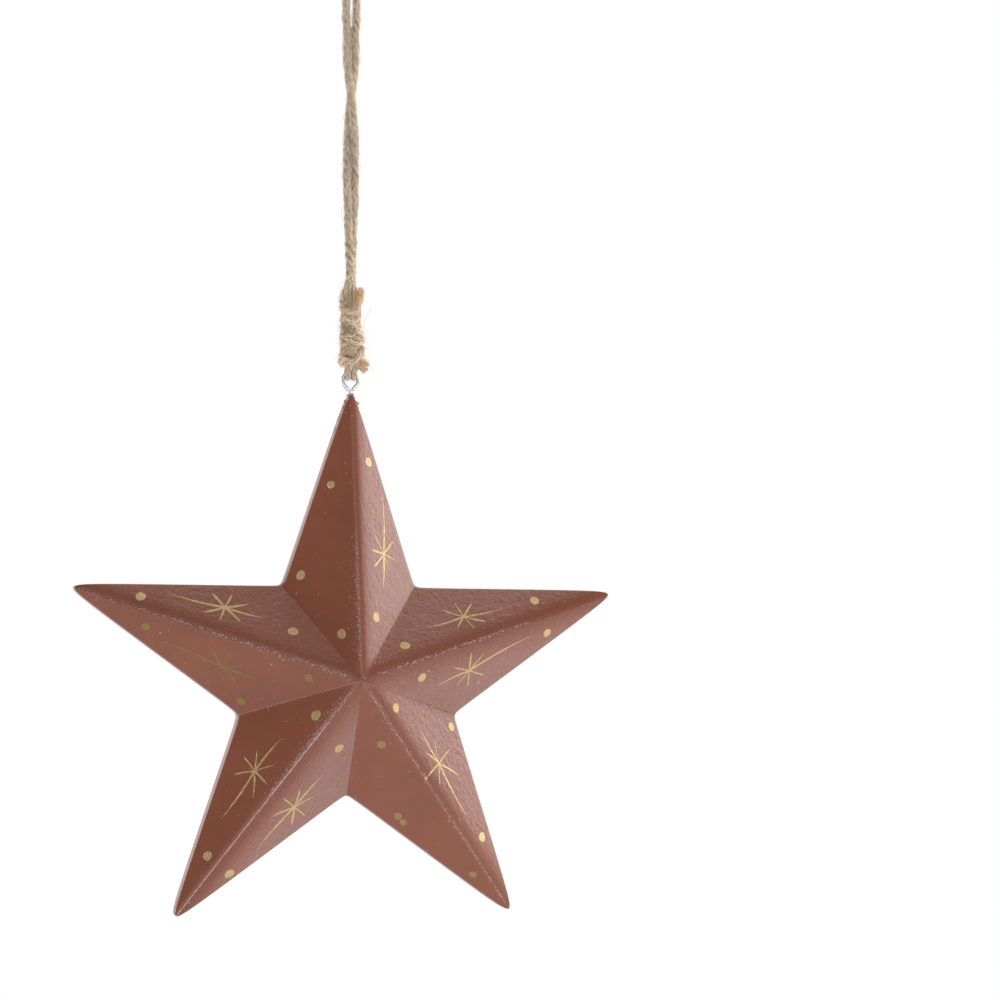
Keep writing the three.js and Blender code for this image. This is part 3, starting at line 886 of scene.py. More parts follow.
def brushed_gold(name, gold):
    """Gold paint drawn with a dry brush: streaks along the stroke, which break up where the brush ran
    dry and let the brown paint show. The thin share darkens the gold towards olive: painted shade on the
    facets that face away from the light."""
    material, tree, place = new_material(name, Roughness=gold.roughness)
    streaks = noise(tree, attribute(tree, "stroke"), 4200, 3, 0.6, stretch=(0.14, 1, 1))
    lumps = noise(tree, place, 1700, 2)
    wet = maths(tree, "MULTIPLY_ADD", lumps, 0.6, streaks)
    cover = between(tree, maths(tree, "SUBTRACT", wet, attribute(tree, "dry", "Fac")), 0.1, 0.26)
    tone = mixed(tree, between(tree, streaks, 0.3, 0.7), tint(gold.paint, 0.82), tint(gold.paint, 1.1))
    # Painted shade: the thin share darkens the gold towards olive on facets that face away from the light
    tone = mixed(tree, product(tree, attribute(tree, "thin", "Fac"), 0.85), tone, (0.24, 0.155, 0.04))
    tone = mixed(tree, cover, (0.22, 0.08, 0.045), tone)
    normal = bumped(tree, streaks, 0.06 * MM, bumped(tree, lumps, 0.34 * MM))
    shade(tree, Base_Color=tone, Metallic=product(tree, cover, 0.5), Normal=normal)
    return material


def zinc_wire(name, eye):
    """Zinc-plated wire: a bright metal with faint cloudiness and drawing lines."""
    look = {"Roughness": 0.18, "Metallic": 1, "Specular_Tint": (0.06, 0.06, 0.07, 1)}
    material, tree, place = new_material(name, **look)
    cloud = noise(tree, place, 600, 3)
    tone = mixed(tree, between(tree, cloud, 0.3, 0.75), tint(eye.metal, 0.86), eye.metal)
    roughness = maths(tree, "MULTIPLY_ADD", cloud, 0.15, 0.06)
    grain = bumped(tree, noise(tree, place, 2500, 2), 0.02 * MM)
    shade(tree, Base_Color=tone, Roughness=roughness, Normal=grain)
    return material


def jute(name, twine, light=1.0):
    """Jute: streaks of dark, tan and pale fibres along the plies, painted shade down in the grooves, with
    patches of warmer and greyer tone, and a soft sheen. A light above 1 makes a lighter copy of the same
    jute, its grooves most of all: painted light."""
    look = {"Roughness": 0.82, "Specular_IOR_Level": 0.25, "Sheen_Weight": 0.25, "Sheen_Roughness": 0.5}
    material, tree, place = new_material(name, **look)
    strand = attribute(tree, "strand")
    streaks = noise(tree, strand, 2600, 4, 0.65, stretch=(1, 1, 0.09))
    broad = noise(tree, strand, 900, 2, 0.5, stretch=(1, 1, 0.12))
    patches = noise(tree, place, 160, 2)
    tan, groove = tint(twine.fibre, light), tint(twine.groove, light**1.5)
    tone = mixed(tree, between(tree, streaks, 0.36, 0.5), groove, tan)
    tone = mixed(tree, between(tree, streaks, 0.52, 0.72), tone, tint(twine.pale, light))
    tone = mixed(tree, between(tree, broad, 0.35, 0.65, 0.0, 0.45), tone, tint(tan, 0.72))
    tone = mixed(tree, between(tree, patches, 0.4, 0.7, 0.0, 0.3), tone, (0.68, 0.46, 0.28))
    # Painted shade: darker down in the grooves between the plies
    tone = mixed(tree, between(tree, attribute(tree, "crown", "Fac"), 0.0, 0.75, 0.66, 0.0), tone, groove)
    shade(tree, Base_Color=tone, Normal=bumped(tree, streaks, 0.18 * MM, bumped(tree, broad, 0.15 * MM)))
    return material


def loose_jute(name, colour):
    """Single fibres: one tone with small differences from fibre to fibre."""
    material, tree, place = new_material(name, Roughness=0.6, Sheen_Weight=0.2)
    patches = between(tree, noise(tree, place, 900, 2), 0.35, 0.65)
    shade(tree, Base_Color=mixed(tree, patches, tint(colour, 0.75), tint(colour, 1.15)))
    return material


def glue_crumb(name):
    """Dull glue, mixed with the paint that it took up."""
    material, tree, place = new_material(name, Roughness=0.7)
    patches = between(tree, noise(tree, place, 900, 2), 0.35, 0.65)
    tone = mixed(tree, patches, (0.5, 0.3, 0.25), (0.66, 0.47, 0.4))
    shade(tree, Base_Color=tone, Normal=bumped(tree, noise(tree, place, 2600, 2), 0.1 * MM))
    return material


def shared(make, name, *arguments):
    """The material of that name, made the first time that it is asked for."""
    return bpy.data.materials.get(name) or make(name, *arguments)


# Gold marks

# How dry the brush was on each facet, from 0 to 1; its square also darkens the gold as painted shade
DRYNESS_AND_GOLD_SHADE = {name: 0.2 for name in FACETS} | {
    "left_lower": 1.0,
    "lower_right_inner": 0.9,
    "lower_left_outer": 0.6,
    "lower_right_outer": 0.1,
    "left_upper": 0.4,
    "top_left": 0.5,
    "right_upper": 0.5,
}

# Dots in millimetres: along the ridge from the centre, away from the ridge, and size
DOTS = {
    "top_left": [(71.3, 8, 0.85), (37.8, 18.8, 1), (16.4, 6.3, 1)],
    "top_right": [(80, 6, 1), (22.5, 6.7, 1)],
    "right_upper": [(75.5, 6.6, 1), (20.2, 6.5, 1)],
    "right_lower": [(76.6, 6.4, 0.95), (23, 6.6, 1), (45.6, 15.9, 0.25)],
    "lower_right_outer": [(16.2, 5.2, 0.95), (36.7, 20.8, 0.9), (76.6, 6.5, 1.05), (44.2, 0.2, 0.4)],
    "lower_right_inner": [
        (24.2, 6.3, 0.95), (85.8, 4.2, 0.8), (51.3, 14.6, 0.85), (54.4, 14.2, 0.75), (62.8, 1.1, 0.35)
    ],
    "lower_left_inner": [(23.4, 9.8, 1), (82, 6.3, 1.05)],
    "lower_left_outer": [(19.2, 4.9, 1.05), (81.4, 4.2, 0.95)],
    "left_lower": [(76.8, 5.4, 0.85), (35.5, 20, 0.9), (17.5, 5, 0.85)],
    "left_upper": [(82, 4.2, 1.05), (27.2, 9.3, 1.05)],
}

# Bursts in millimetres: along the ridge, away from it, and strokes as direction in degrees from the
# way to the tip towards the edge, length, and width share; the first two are the long strokes
BURSTS = {
    "top_right": (46, 11.2, [
        (1, 23.5, 0.8), (-176, 13, 1), (-27, 8.5, 0.5), (42, 6.5, 0.9),
        (-76, 5.5, 0.9), (114, 5.5, 0.6), (-138, 7, 1), (159, 7, 0.5),
    ]),
    "right_upper": (46.5, 9.3, [
        (-6, 17, 0.7), (178, 15.5, 0.8), (34, 6.5, 0.9), (98, 6, 0.6),
        (145, 8.5, 0.6), (-30, 8.5, 0.8), (-146, 5.5, 0.7), (-72, 5.5, 0.6),
    ]),
    "right_lower": (42.5, 10.2, [
        (-10, 27, 0.9), (174, 14, 0.9), (-75, 6.5, 0.8), (-32, 8.5, 0.6),
        (-152, 7, 0.6), (33, 7, 0.7), (147, 7, 0.5), (104, 6, 0.8),
    ]),
    "lower_right_outer": (43.5, 7.9, [
        (-5, 24, 0.8), (175, 15.5, 0.7), (153, 8.5, 0.4), (97, 7.5, 0.7),
        (-162, 7, 0.7), (26, 10, 0.8), (-85, 7, 0.7), (-35, 8.5, 0.5),
    ]),
    "lower_left_inner": (49.5, 10.4, [
        (-4, 20, 0.9), (176, 15, 0.9), (-156, 7, 0.8), (-90, 6, 0.7),
        (153, 8.5, 0.7), (-34, 9, 0.9), (90, 6, 0.8), (34, 6.5, 1),
    ]),
    "lower_left_outer": (47.5, 9.3, [
        (-3, 20.5, 0.8), (-179, 14.5, 0.8), (151, 7.5, 0.5), (110, 6, 0.7),
        (-146, 7, 0.5), (42, 7, 0.7), (-77, 6, 0.9), (-32, 9.5, 0.6),
    ]),
    "left_lower": (46.5, 10.6, [
        (-5, 22.5, 0.7), (176, 14.5, 0.7), (-37, 9.5, 0.7), (-93, 6, 0.5),
        (-156, 7.5, 0.6), (35, 6, 0.7), (100, 5.5, 0.5), (150, 9, 0.6),
    ]),
    "left_upper": (52.5, 9.9, [
        (-4, 20.5, 0.8), (177, 14.5, 0.8), (33, 6.5, 1.1), (105, 6, 0.8),
        (153, 9, 0.8), (-31, 8, 0.8), (-82, 5, 0.9), (-153, 7.5, 1),
    ]),
}


def film(shape, facet, along, away, lift):
    """Points on a facet, from distances along its ridge and away from it, lifted off the paint."""
    arm, side = facet
    radius = np.hypot(along, away)
    turn = arm * 2 * TIP_ANGLE + side * np.arctan2(away, along)
    return shape.place(radius, turn, shape.front(radius, turn) + lift)


def dot_rings(shape, facet, along, away, size, gold, random):
    """A dot of paint, round on the sloping facet: rings from its domed middle to an uneven rim, then back
    under the brown surface. In plan the circle is squeezed along the slope by the cosine of its angle."""
    turn = np.linspace(0, 2 * np.pi, 30, endpoint=False) * -facet[1]
    wobble = 1 + 0.05 * np.sin(2 * turn + random.uniform(0, 6))
    wobble = wobble + 0.035 * np.sin(3 * turn + random.uniform(0, 6))
    down = np.array([math.cos(shape.normal), math.sin(shape.normal)])
    flatter = 1 - shape.distance / math.hypot(shape.distance, shape.star.relief)
    rings, strokes = [], []
    profile = ((0.06, 1.3), (0.35, 1.25), (0.65, 1.35), (0.85, 1.5), (0.97, 0.9), (1, -1.5), (0.06, -1.5))
    for share, height in profile:
        radius = gold.dot / 2 * size * share * wobble
        x, y = radius * np.cos(turn), radius * np.sin(turn)
        squeeze = flatter * (x * down[0] + y * down[1])
        x, y = along * MM + x - squeeze * down[0], away * MM + y - squeeze * down[1]
        rings.append(film(shape, facet, x, y, gold.film * height))
        strokes.append(np.stack([x, y, 0 * x], axis=-1))
    return np.stack(rings), np.stack(strokes)


def stroke_rings(shape, facet, centre, stroke, order, gold, random):
    """A brush stroke: a flat lens of paint with an uneven edge. A long stroke thins to its end and a short
    one ends bluntly. Each ring goes once round the lens."""
    degrees, length, width = stroke
    angle = math.radians(degrees)
    t = np.linspace(-0.04 if length > 10 else -0.07, 1, 40)
    blunt = 2.2 if length > 12 else 7
    ends = np.clip(1.12 - np.abs(t) ** blunt, 0, 1) * np.clip((t + 0.12) * 6, 0.35, 1)
    places = np.stack([t * length, 0 * t, 0 * t + order], axis=-1)
    half = 0.5 * gold.stroke * width * ends * (1 + 0.28 * lattice_field(places, 0.7, random.integers(99)))
    across = np.array([-1, -0.8, -0.4, 0, 0.4, 0.8, 1, 0]) * -facet[1]
    height = np.array([-0.4, 0.75, 1, 1.05, 1, 0.75, -0.4, -1.2])
    sway = 0.02 * length * math.copysign(1, degrees) * np.sin(np.pi * np.clip(t, 0, 1))
    forward = (t * length)[:, None] * MM + 0 * across
    sideways = sway[:, None] * MM + half[:, None] * across
    x = centre[0] * MM + forward * math.cos(angle) - sideways * math.sin(angle)
    y = centre[1] * MM + forward * math.sin(angle) + sideways * math.cos(angle)
    lift = gold.film * (height * np.clip(half / (0.3 * gold.stroke), 0.3, 1)[:, None] + 0.12 * order)
    return film(shape, facet, x, y, lift), np.stack([forward, sideways, 0 * x], axis=-1)


# Loose twine

# Wraps that cross the whipping's front, and long hairs, in millimetres from the eye's top wire
CROSSINGS = [
    [(-3.4, -1.2, 20.6), (-1.8, -4.6, 19), (1.6, -4.9, 15.8), (4, -1.6, 13.2)],
    [(-3.7, -1.2, 13.6), (-2, -4.7, 11.6), (1.6, -5, 10.2), (4.4, -1.6, 11.4)],
    [(-3.9, -0.6, 6.4), (-2.8, -4.5, 4.4), (0.6, -5.1, 3.6), (4.2, -3.4, 6.6)],
]
HAIRS = [
    [
        (0.4, -6, 22), (-0.3, -6.3, 20.2), (0.1, -6.4, 17.4),
        (1.1, -6.4, 15), (1.9, -6.3, 12.6), (1.8, -6.2, 11),
    ],
    [(-2.2, -6, 13.5), (-1.2, -6.4, 12), (-0.4, -6.5, 10.4)],
    [(4.6, -1, 17), (5.4, -0.6, 20.4), (6.6, -0.3, 22.6), (8, 0, 25.2)],
    [(-2.6, -5.6, 3.4), (-0.6, -6.4, 2.4), (1.6, -6.2, 3.4)],
    [(5, -2, 4), (6.8, -2, 2.4), (8.6, -2, 0.8)],
]

# Loose fibres along the loop: piece, tone, distance from the twine's line in diameters, lay in lays of the
# twine, shortest and longest, how far they lift off, thickness (all in millimetres), how many, and seed
LOOP_FIBRES = [
    ("loop_lying_fibres", "blush_jute", 0.49, 1.5, (3, 12), 0.4, 0.1, 1300, 8),
    ("loop_crossing_fibres", "blush_jute", 0.5, -2.4, (3, 10), 0.8, 0.2, 260, 11),
    ("loop_hairs", "white_hair", 0.52, -3, (4, 12), 1.3, 0.22, 60, 13),
    ("loop_dark_fibres", "dark_jute", 0.5, 1.2, (2, 6), 0.2, 0.18, 130, 12),
]

# Loose fibres round the whipping: piece, tone, how many, and seed
WRAPS = [
    ("whipping_wraps_tan", "straw_jute", 420, 90),
    ("whipping_wraps_pale", "pale_jute", 150, 91),
    ("whipping_wraps_dark", "dark_jute", 150, 92),
]

# The bight's two bundles, in millimetres from the eye's top wire: how far aside each passes under it, and
# its route down to there
BIGHT = [
    (-1.02, [(4, -2.6, 9.4), (3.3, -4, 7.6), (1.6, -4.9, 5.5), (-0.2, -4.4, 3.4), (-1, -3.1, 1.3)]),
    (1.08, [(2, -2.6, 6.4), (1.7, -3.8, 4.6), (1.4, -3.7, 2.6), (1.2, -2.7, 0.7)]),
]


# Operators


class Builder:
    """What the operators share."""

    bl_options = {"REGISTER"}


class ORNAMENT_OT_star_body(Builder, bpy.types.Operator):
    """Make the painted wooden star"""

    bl_idname = "ornament.star_body"
    bl_label = "Star body"

    def execute(self, context):
        star = context.scene.ornament_star
        rings, values = star_rings(StarShape(star, context.scene.ornament_eye))
        made = piece("painted_star", rings, shared(satin_brown, "satin_brown", star), values)
        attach(made, "star")
        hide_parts("star_body")
        return {"FINISHED"}


class ORNAMENT_OT_gold_marks(Builder, bpy.types.Operator):
    """Paint the gold dots and starbursts, one piece for each facet"""

    bl_idname = "ornament.gold_marks"
    bl_label = "Gold marks"

    def execute(self, context):
        gold = context.scene.ornament_gold
        shape = StarShape(context.scene.ornament_star, context.scene.ornament_eye)
        random = np.random.default_rng(5)
        for name, facet in FACETS.items():
            # The square of the dryness darkens the gold as painted shade
            thin = DRYNESS_AND_GOLD_SHADE[name] ** 2
            marks = [dot_rings(shape, facet, *dot, gold, random) for dot in DOTS[name]]
            self.paint(f"gold_dots_{name}", marks, gold, thin, 0.26 + 0.06 * thin, 0)
            if name in BURSTS:
                *centre, strokes = BURSTS[name]
                marks = [
                    stroke_rings(shape, facet, centre, stroke, order, gold, random)
                    for order, stroke in enumerate(strokes)
                ]
                self.paint(f"gold_burst_{name}", marks, gold, thin, 0.34 + 0.14 * DRYNESS_AND_GOLD_SHADE[name], 0.14)
        return {"FINISHED"}

    def paint(self, name, marks, gold, thin, dry, drier):
        """One piece of marks, drawn with a brush that gets drier along each."""
        rings, strokes = (np.stack(part) for part in zip(*marks))
        share = np.clip(strokes[..., 0] / strokes[..., 0].max(axis=(1, 2), keepdims=True), 0, 1)
        values = {"stroke": strokes, "dry": dry + drier * share**2, "thin": 0 * share + thin}
        made = piece(name, rings, shared(brushed_gold, "brushed_gold", gold), values)
        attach(made, "star")


class ORNAMENT_OT_screw_eye(Builder, bpy.types.Operator):
    """Bend the wire screw eye"""

    bl_idname = "ornament.screw_eye"
    bl_label = "Screw eye"

    def execute(self, context):
        eye = context.scene.ornament_eye
        shape = StarShape(context.scene.ornament_star, eye)
        bend = (eye.outer_width - eye.wire) / 2
        neck = -bend - eye.neck
        turn = np.radians(np.linspace(-128, 128, 25))
        ring = np.stack([bend * np.sin(turn), 0 * turn, bend * (np.cos(turn) - 1)], axis=-1)
        foot = np.array([0.1 * eye.wire, 0, neck])
        flank = unit(ring[-1] - foot)
        mouth = (eye.wire + eye.mouth) / (2 * flank[0] * flank[2]) - MOUTH_CLOSING
        shank = [(0, 0, -shape.eye_top - share * eye.shank) for share in (1, 0.75, 0.5, 0.25, 0)]
        points = np.vstack([shank, (-0.1 * eye.wire, 0, neck), ring, foot + mouth * flank])
        line = smooth_line(points, 0.12 * MM)
        in_wood = np.clip((-shape.eye_top - line[:, 2, None]) / (0.6 * MM), 0, 1)
        theta = np.linspace(0, 2 * np.pi, 20, endpoint=False)
        along = distance_along(line)[:, None]
        thread = 0.5 + 0.5 * np.cos(theta - 2 * np.pi * along / THREAD_PITCH)
        ends = np.clip(np.minimum(along, along[-1] - along) / (0.18 * MM), 0, 1)
        radius = FULLER * eye.wire / 2 * (1 - 0.22 * in_wood * thread**2)
        radius = radius * (0.55 + 0.45 * np.sqrt(1 - (1 - ends) ** 2))
        rings = leaning(*np.moveaxis(rings_round(line, (0, 1, 0), theta + 0 * radius, radius), -1, 0))
        made = piece("wire_eye", rings[None], shared(zinc_wire, "zinc_wire", eye))
        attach(made, "star")
        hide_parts("screw_eye")
        return {"FINISHED"}


class ORNAMENT_OT_loop(Builder, bpy.types.Operator):
    """Lay the free twine from the whipping over the hook and back, with its loose fibres"""

    bl_idname = "ornament.loop"
    bl_label = "Twine loop"

    def execute(self, context):
        twine = context.scene.ornament_twine
        line = loop_line(twine, 0.2 * MM)
        towards = (0, 1, 0)
        from_end = distance_along(line)[-1] - distance_along(line)
        thickness = twine.diameter * (1 - 0.24 * np.clip(1 - from_end / (8 * MM), 0, 1))
        made = yarn(line, towards, thickness, twine.lay, twine.plies, 31, 0.1)
        loop = yarn_piece("twine_loop", [made], shared(jute, "jute", twine))
        count = 700
        root, facing = surface_roots(made[0], count, twine.seed)
        random = np.random.default_rng(twine.seed)
        along = np.sign(random.normal(size=(count, 1))) * (0, 0, 1)
        direction = facing * random.uniform(0.15, 0.9, (count, 1)) + along
        direction = direction + random.normal(0, 0.25, (count, 3))
        length = 0.8 * MM + 3.6 * MM * random.random(count) ** 2.4
        stray = fibres(root - 0.1 * MM * facing, direction, length, 0.08 * MM, 0.6, twine.seed + 1)
        loose = [fibre_piece("loop_stray_fibres", stray, twine, "pale_jute")]
        for name, tone, out, lay, *sizes in LOOP_FIBRES:
            lying = lying_fibres(line, towards, out * twine.diameter, lay * twine.lay, *sizes)
            loose.append(fibre_piece(name, lying, twine, tone))
        for part in (loop, *loose):
            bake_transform(part)
        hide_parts("loop_top", "standing_leg", "winding_leg")
        return {"FINISHED"}


class ORNAMENT_OT_whipping(Builder, bpy.types.Operator):
    """Wind the whipping, with the strands inside it and its loose fibres"""

    bl_idname = "ornament.whipping"
    bl_label = "Whipping"

    def execute(self, context):
        twine = context.scene.ornament_twine
        at = twine_heights(twine)
        # Painted light: a lighter copy of the same jute for the whipping's twine
        paint = shared(jute, "loose_jute", twine, 1.2)
        line = winding_line(twine, 0.16 * MM)
        outward = from_axis(line)
        thickness = twine.winding + twine.winding_fluff * np.linspace(-0.3, 1.4, len(line))
        turns = yarn(line, outward, thickness, 8 * MM, twine.plies, 41, 0.14)
        winding = yarn_piece("whipping_turns", [turns], paint)
        heights = np.linspace(at["bottom"] + 0.4 * MM, at["strand_top"], 60)
        strands = [strand_points(side, heights, at) for side in (-1, 1)]
        inner = [yarn(strand, (1, 0, 0), twine.strand, twine.lay, twine.plies, 43) for strand in strands]
        core = yarn_piece("whipping_strands", inner, paint)
        stray = fibre_piece("whipping_stray_fibres", self.stray(turns[0], twine), twine, "straw_jute")
        lying = lying_fibres(line, outward, 0.48 * twine.winding, 14 * MM, (3, 11), 0.5, 0.13, 600, 9)
        lying = fibre_piece("whipping_lying_fibres", lying, twine, "straw_jute")
        loose = []
        for number, route in enumerate([*map(above_wire, CROSSINGS), *crossing_routes(at, 11, 93)]):
            line = resampled(smooth_line(route, 0.15 * MM), 80)
            thickness = (1.5 + 0.12 * (number % 5)) * MM
            loose.append(yarn(line, from_axis(line), thickness, 7 * MM, twine.plies, 80 + number, 0.16))
        parts = [winding, core, stray, lying, yarn_piece("whipping_crossings", loose, paint)]
        for name, tone, count, seed in WRAPS:
            parts.append(fibre_piece(name, wrap_fibres(at, twine, count, seed), twine, tone))
        around = np.linspace(0, 2 * np.pi, 5, endpoint=False)
        hairs = []
        for route in map(above_wire, HAIRS):
            line = smooth_line(route, np.linalg.norm(np.diff(route, axis=0), axis=1).sum() / 36)[:36]
            thin = 0.1 * MM + 0 * line[:, :1]
            hairs.append(rings_round(line, TOWARDS_CAMERA, around + 0 * thin, thin))
        parts.append(fibre_piece("whipping_hairs", np.stack(hairs), twine, "white_hair"))
        for part in parts:
            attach(part, "knot")
        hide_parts("whipping")
        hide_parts("inner_strand")
        return {"FINISHED"}

    def stray(self, rings, twine):
        """Rings of fibres that stand out from the turns, most of them along their way round."""
        random = np.random.default_rng(twine.seed + 2)
        root, facing = surface_roots(rings, 4200, twine.seed + 3)
        outer = np.flatnonzero((facing * from_axis(root)).sum(1) > 0.2)[:1000]
        root, facing = root[outer], facing[outer]
        count = len(root)
        around = np.cross(from_axis(root), (0, 0, 1)) * random.choice([-1, 1], (count, 1))
        direction = facing * random.uniform(0.1, 0.8, (count, 1)) + 0.9 * around
        direction = direction + random.normal(0, 0.45, (count, 3))
        length = 0.6 * MM + 3.4 * MM * random.random(count) ** 2.5
        return fibres(root - 0.15 * MM * facing, direction, length, 0.09 * MM, 0.7, twine.seed + 4)


class ORNAMENT_OT_cut_ends(Builder, bpy.types.Operator):
    """Fray the twine's two cut ends, and splay some fibres between the legs"""

    bl_idname = "ornament.cut_ends"
    bl_label = "Cut ends"

    def execute(self, context):
        twine = context.scene.ornament_twine
        last = twine_heights(twine)["last"]
        upper = above_wire([(1, -1.5, 0), (1.8, -1.7, 2.6), (2.9, -1.9, 6), (3.3, -1.9, 9.6)], last)
        end = winding_line(twine, 0.3 * MM)[-16:]
        end = end + np.linspace(0, 1.3 * MM, len(end))[:, None] * (0, 0, 1)
        lower = [end[0], end[8], end[-1], end[-1] + unit(end[-1] - end[-6]) * 0.4 * MM]
        between_legs = above_wire([(0.1, -0.2, 13), (0.2, -0.2, 8), (0.2, -0.2, 4), (0, 0, 0)], last)
        # Each tuft's piece, tone, route, normal, radii and fibre thickness in millimetres, count and seed
        tufts = (
            ("upper_cut_end", "warm_jute", upper, (1, 0, 0), (1.1, 1.9), 0.26, 150, 51),
            ("lower_cut_end", "warm_jute", lower, (0, 1, 0), (1.2, 2.2), 0.26, 160, 52),
            ("splayed_fibres", "straw_jute", between_legs, (1, 0, 0), (1.4, 2.3), 0.2, 55, 53),
        )
        for name, tone, route, *shape in tufts:
            made = fibre_piece(name, tuft(smooth_line(route, 0.3 * MM), *shape), twine, tone)
            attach(made, "knot")
            if name == "upper_cut_end":
                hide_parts("tail_strand")
        return {"FINISHED"}


class ORNAMENT_OT_bight(Builder, bpy.types.Operator):
    """Pass the twine's bight, loosened into two bundles, through the eye"""

    bl_idname = "ornament.bight"
    bl_label = "Bight in the eye"

    def execute(self, context):
        twine, eye = context.scene.ornament_twine, context.scene.ornament_eye
        thickness = twine.strand_in_eye
        drop = ((thickness + eye.wire) / 2 + twine.fit) / MM
        top = (twine.strand + twine.fit) / 2 / MM
        sideways = (1, 0.2, 0)
        fibre = ((2, 7), 0.3, 0.1, 90)
        yarns, wisps = [], []
        for number, (x, above) in enumerate(BIGHT):
            under = [(x, -1.9, -0.7), (x, -0.8, -0.9 * drop), (x, 0.3, -drop), (x, 1.5, -0.55 * drop)]
            behind = [(0.8 * x, top + 1.2, 0.6), (0.6 * x, top + 0.5, 3.4)]
            line = resampled(smooth_line(above_wire(above + under + behind), 0.15 * MM), 110)
            yarns.append(yarn(line, sideways, 0.86 * thickness, 9 * MM, twine.plies, 61 + number, 0.06))
            wisps.append(lying_fibres(line, sideways, 0.43 * thickness, 14 * MM, *fibre, 10 + number))
        bight = yarn_piece("bight_in_eye", yarns, shared(jute, "jute", twine))
        lying = fibre_piece("bight_lying_fibres", np.concatenate(wisps), twine, "pale_jute")
        for made in (bight, lying):
            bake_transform(made)
        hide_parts("eye_bight")
        return {"FINISHED"}


class ORNAMENT_OT_glue_crumbs(Builder, bpy.types.Operator):
    """Leave crumbs of glue round the screw eye's foot and down the tip's left edge"""

    bl_idname = "ornament.glue_crumbs"
    bl_label = "Glue crumbs"

    def execute(self, context):
        shape = StarShape(context.scene.ornament_star, context.scene.ornament_eye)
        random = np.random.default_rng(71)
        count = 40
        near_foot = np.arange(count) < 20
        away = np.where(near_foot, 0, random.random(count) ** 1.3)
        turn = np.where(near_foot, random.uniform(-0.03, 0.03, count), -0.012 - 0.055 * away)
        radius = shape.outline(shape.fold(turn)) + np.where(near_foot, 0.35 * MM, 0.12 * MM)
        height = random.uniform(0.35, 1.05, count) * shape.star.side_wall
        middle = shape.place(radius, turn, np.where(near_foot, random.uniform(2.2, 6.8, count) * MM, height))
        middle = middle[:, None, None]
        size = random.uniform(0.2, 0.75, count) * MM * np.where(near_foot, 1.1, 0.55)
        around = np.linspace(0, 2 * np.pi, 12, endpoint=False)
        around, up = np.meshgrid(around, np.linspace(0.15, np.pi - 0.15, 7))
        ball = np.stack([np.sin(up) * np.cos(around), np.sin(up) * np.sin(around), -np.cos(up)], axis=-1)
        lumpy = 1 + 0.35 * lattice_field(ball + 3 * middle / MM, 0.7, 72)
        rings = middle + (size[:, None, None] * lumpy)[..., None] * ball
        made = piece("glue_crumbs", rings, shared(glue_crumb, "glue_crumb"))
        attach(made, "star")
        return {"FINISHED"}


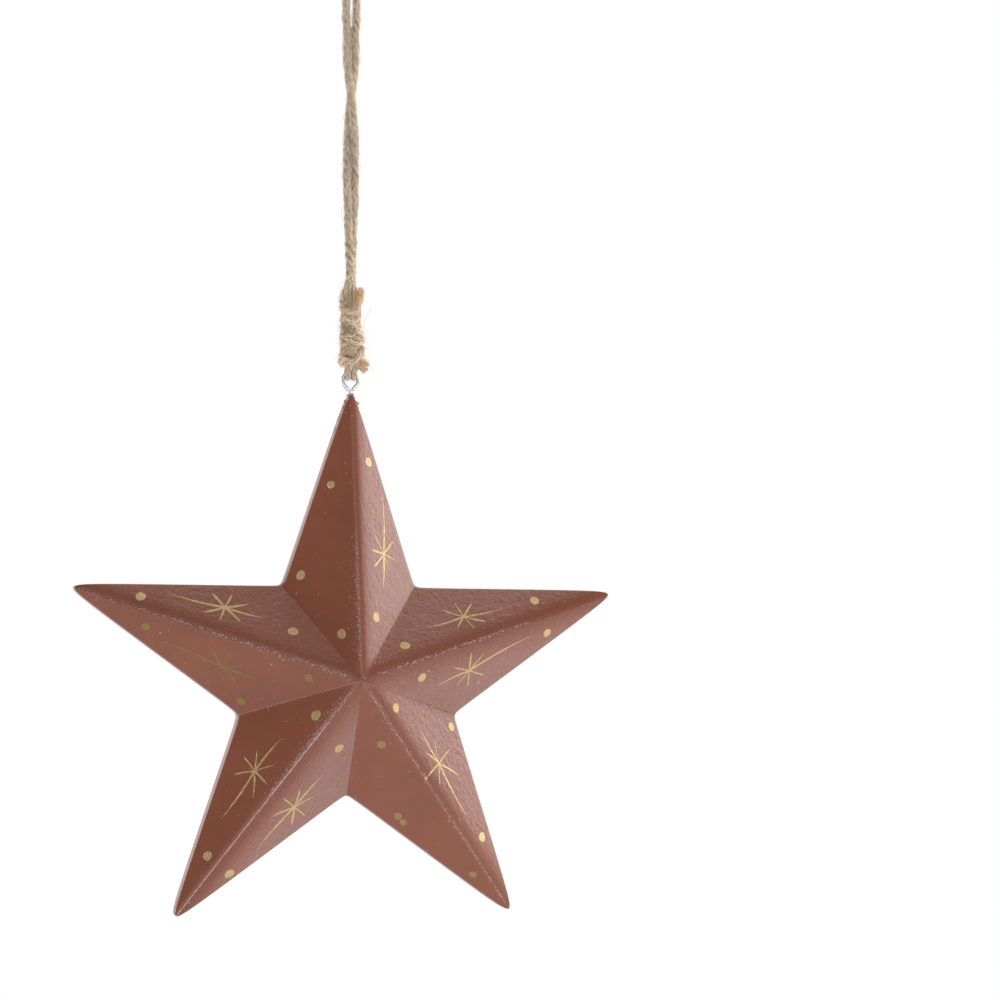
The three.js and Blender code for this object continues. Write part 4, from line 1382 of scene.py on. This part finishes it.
class ORNAMENT_OT_stage(Builder, bpy.types.Operator):
    """Set the floor, the lamps, the white surroundings and the camera"""

    bl_idname = "ornament.stage"
    bl_label = "Stage"

    def execute(self, context):
        stage, scene = context.scene.ornament_stage, context.scene
        scene.view_settings.view_transform = "Standard"
        self.floor(stage)
        self.lamp("key_softbox", stage.key, 1.1, 1.5, (1.25, 0.1, -0.2))
        self.lamp("high_softbox", stage.high, 1.1, 1.1, (1.15, 0.1, 0.5))
        self.lamp("top_softbox", stage.top, 1.2, 1.2, (0.1, -0.1, 0.95))
        self.lamp("low_fill", stage.low, 1.4, 0.9, (0.1, -0.25, 0.015 - stage.floor_drop))
        self.lamp("front_fill", stage.front, 1, 1, (0.1, -1.4, 0.1))
        self.lamp("rim_softbox", stage.rim, 0.9, 1.4, (-1.1, 0.75, -0.25))
        self.surroundings(scene)
        camera = linked("camera", bpy.data.cameras.new("camera"))
        camera.data.lens = stage.lens
        camera.data.sensor_width = 36
        camera.location = CAMERA_PLACE
        camera.rotation_euler = np.radians(CAMERA_TURN)
        scene.camera = camera
        return {"FINISHED"}

    def lamp(self, name, power, width, height, place):
        """A rectangular softbox at a place, facing the star."""
        data = bpy.data.lights.new(name, "AREA")
        data.shape = "RECTANGLE"
        data.size, data.size_y, data.energy = width, height, power
        made = linked(name, data)
        back = unit(np.subtract(place, LAMP_AIM))
        right = unit(np.cross((0, 0.001, 1), back))
        turned = Matrix(np.stack([right, np.cross(back, right), back], axis=1).tolist())
        made.matrix_world = Matrix.LocRotScale(place, turned, None)
        made.visible_camera = False

    def floor(self, stage):
        """A round pale floor that fades into the white surroundings towards its rim."""
        turn = np.linspace(0, 2 * np.pi, 96, endpoint=False)[None]
        radius = np.linspace(0.02, 1.6, 30)[:, None]
        height = 0 * radius * turn - stage.floor_drop
        top = np.stack([radius * np.cos(turn), radius * np.sin(turn), height], axis=-1)
        under = top[::-1] - (0, 0, 4 * MM)
        material, tree, place = new_material("floor_paper", Roughness=0.9, Base_Color=(0.86, 0.86, 0.87, 1))
        glow = node(tree, "ShaderNodeEmission", {"Color": (1, 1, 1, 1), "Strength": 1.0}).outputs[0]
        length = node(tree, "ShaderNodeVectorMath", {0: place}, operation="LENGTH").outputs["Value"]
        paper = tree.nodes["Principled BSDF"].outputs[0]
        fade = between(tree, length, 0.75, 1.5)
        blend = node(tree, "ShaderNodeMixShader", {0: fade, 1: paper, 2: glow}).outputs[0]
        tree.links.new(blend, tree.nodes["Material Output"].inputs["Surface"])
        mesh = closed_mesh("floor", np.concatenate([top, under])[None])
        mesh.materials.append(material)
        linked("floor", mesh)

    def surroundings(self, scene):
        """White where the camera sees it and behind the star, where metal shows it too, and darker from the
        front, where the room is."""
        world = bpy.data.worlds.new("surroundings")
        scene.world = world
        world.use_nodes = True
        tree = world.node_tree
        way = node(tree, "ShaderNodeTexCoord").outputs["Generated"]
        behind = node(tree, "ShaderNodeSeparateXYZ", {0: way}).outputs["Y"]
        light = between(tree, behind, 0.0, 0.3, 0.1, 1.0)
        ray = node(tree, "ShaderNodeLightPath").outputs
        shown = maths(tree, "MAXIMUM", ray["Is Glossy Ray"], ray["Is Transmission Ray"])
        shown = product(tree, shown, between(tree, behind, -0.05, 0.05))
        strength = maths(tree, "MAXIMUM", maths(tree, "MAXIMUM", ray["Is Camera Ray"], shown), light)
        tree.links.new(strength, tree.nodes["Background"].inputs["Strength"])
        tree.nodes["Background"].inputs["Color"].default_value = (1, 1, 1, 1)


class ORNAMENT_PT_panel(bpy.types.Panel):
    """Settings and operators of the star ornament"""

    bl_idname = "ORNAMENT_PT_panel"
    bl_label = "Star ornament"
    bl_space_type = "VIEW_3D"
    bl_region_type = "UI"
    bl_category = "Ornament"

    def draw(self, context):
        for name in SETTINGS:
            box = self.layout.box()
            group = getattr(context.scene, name)
            for key in group.__annotations__:
                box.prop(group, key)
        for operator in OPERATORS:
            self.layout.operator(operator.bl_idname)


SETTINGS = {
    "ornament_star": StarSettings,
    "ornament_gold": GoldSettings,
    "ornament_eye": EyeSettings,
    "ornament_twine": TwineSettings,
    "ornament_stage": StageSettings,
}
OPERATORS = [
    ORNAMENT_OT_stage,
    ORNAMENT_OT_loop,
    ORNAMENT_OT_star_body,
    ORNAMENT_OT_gold_marks,
    ORNAMENT_OT_screw_eye,
    ORNAMENT_OT_whipping,
    ORNAMENT_OT_cut_ends,
    ORNAMENT_OT_bight,
    ORNAMENT_OT_glue_crumbs,
]


def register():
    """Register the settings, the operators and the panel."""
    for name, group in SETTINGS.items():
        bpy.utils.register_class(group)
        setattr(bpy.types.Scene, name, PointerProperty(type=group))
    for made in [*OPERATORS, ORNAMENT_PT_panel]:
        bpy.utils.register_class(made)


def unregister():
    """Remove the panel, the operators and the settings."""
    for made in [ORNAMENT_PT_panel, *reversed(OPERATORS)]:
        bpy.utils.unregister_class(made)
    for name, group in SETTINGS.items():
        delattr(bpy.types.Scene, name)
        bpy.utils.unregister_class(group)


def main():
    """Make every piece in order."""
    register()
    for operator in OPERATORS:
        group, name = operator.bl_idname.split(".")
        getattr(getattr(bpy.ops, group), name)()


if __name__ == "__main__":
    main()
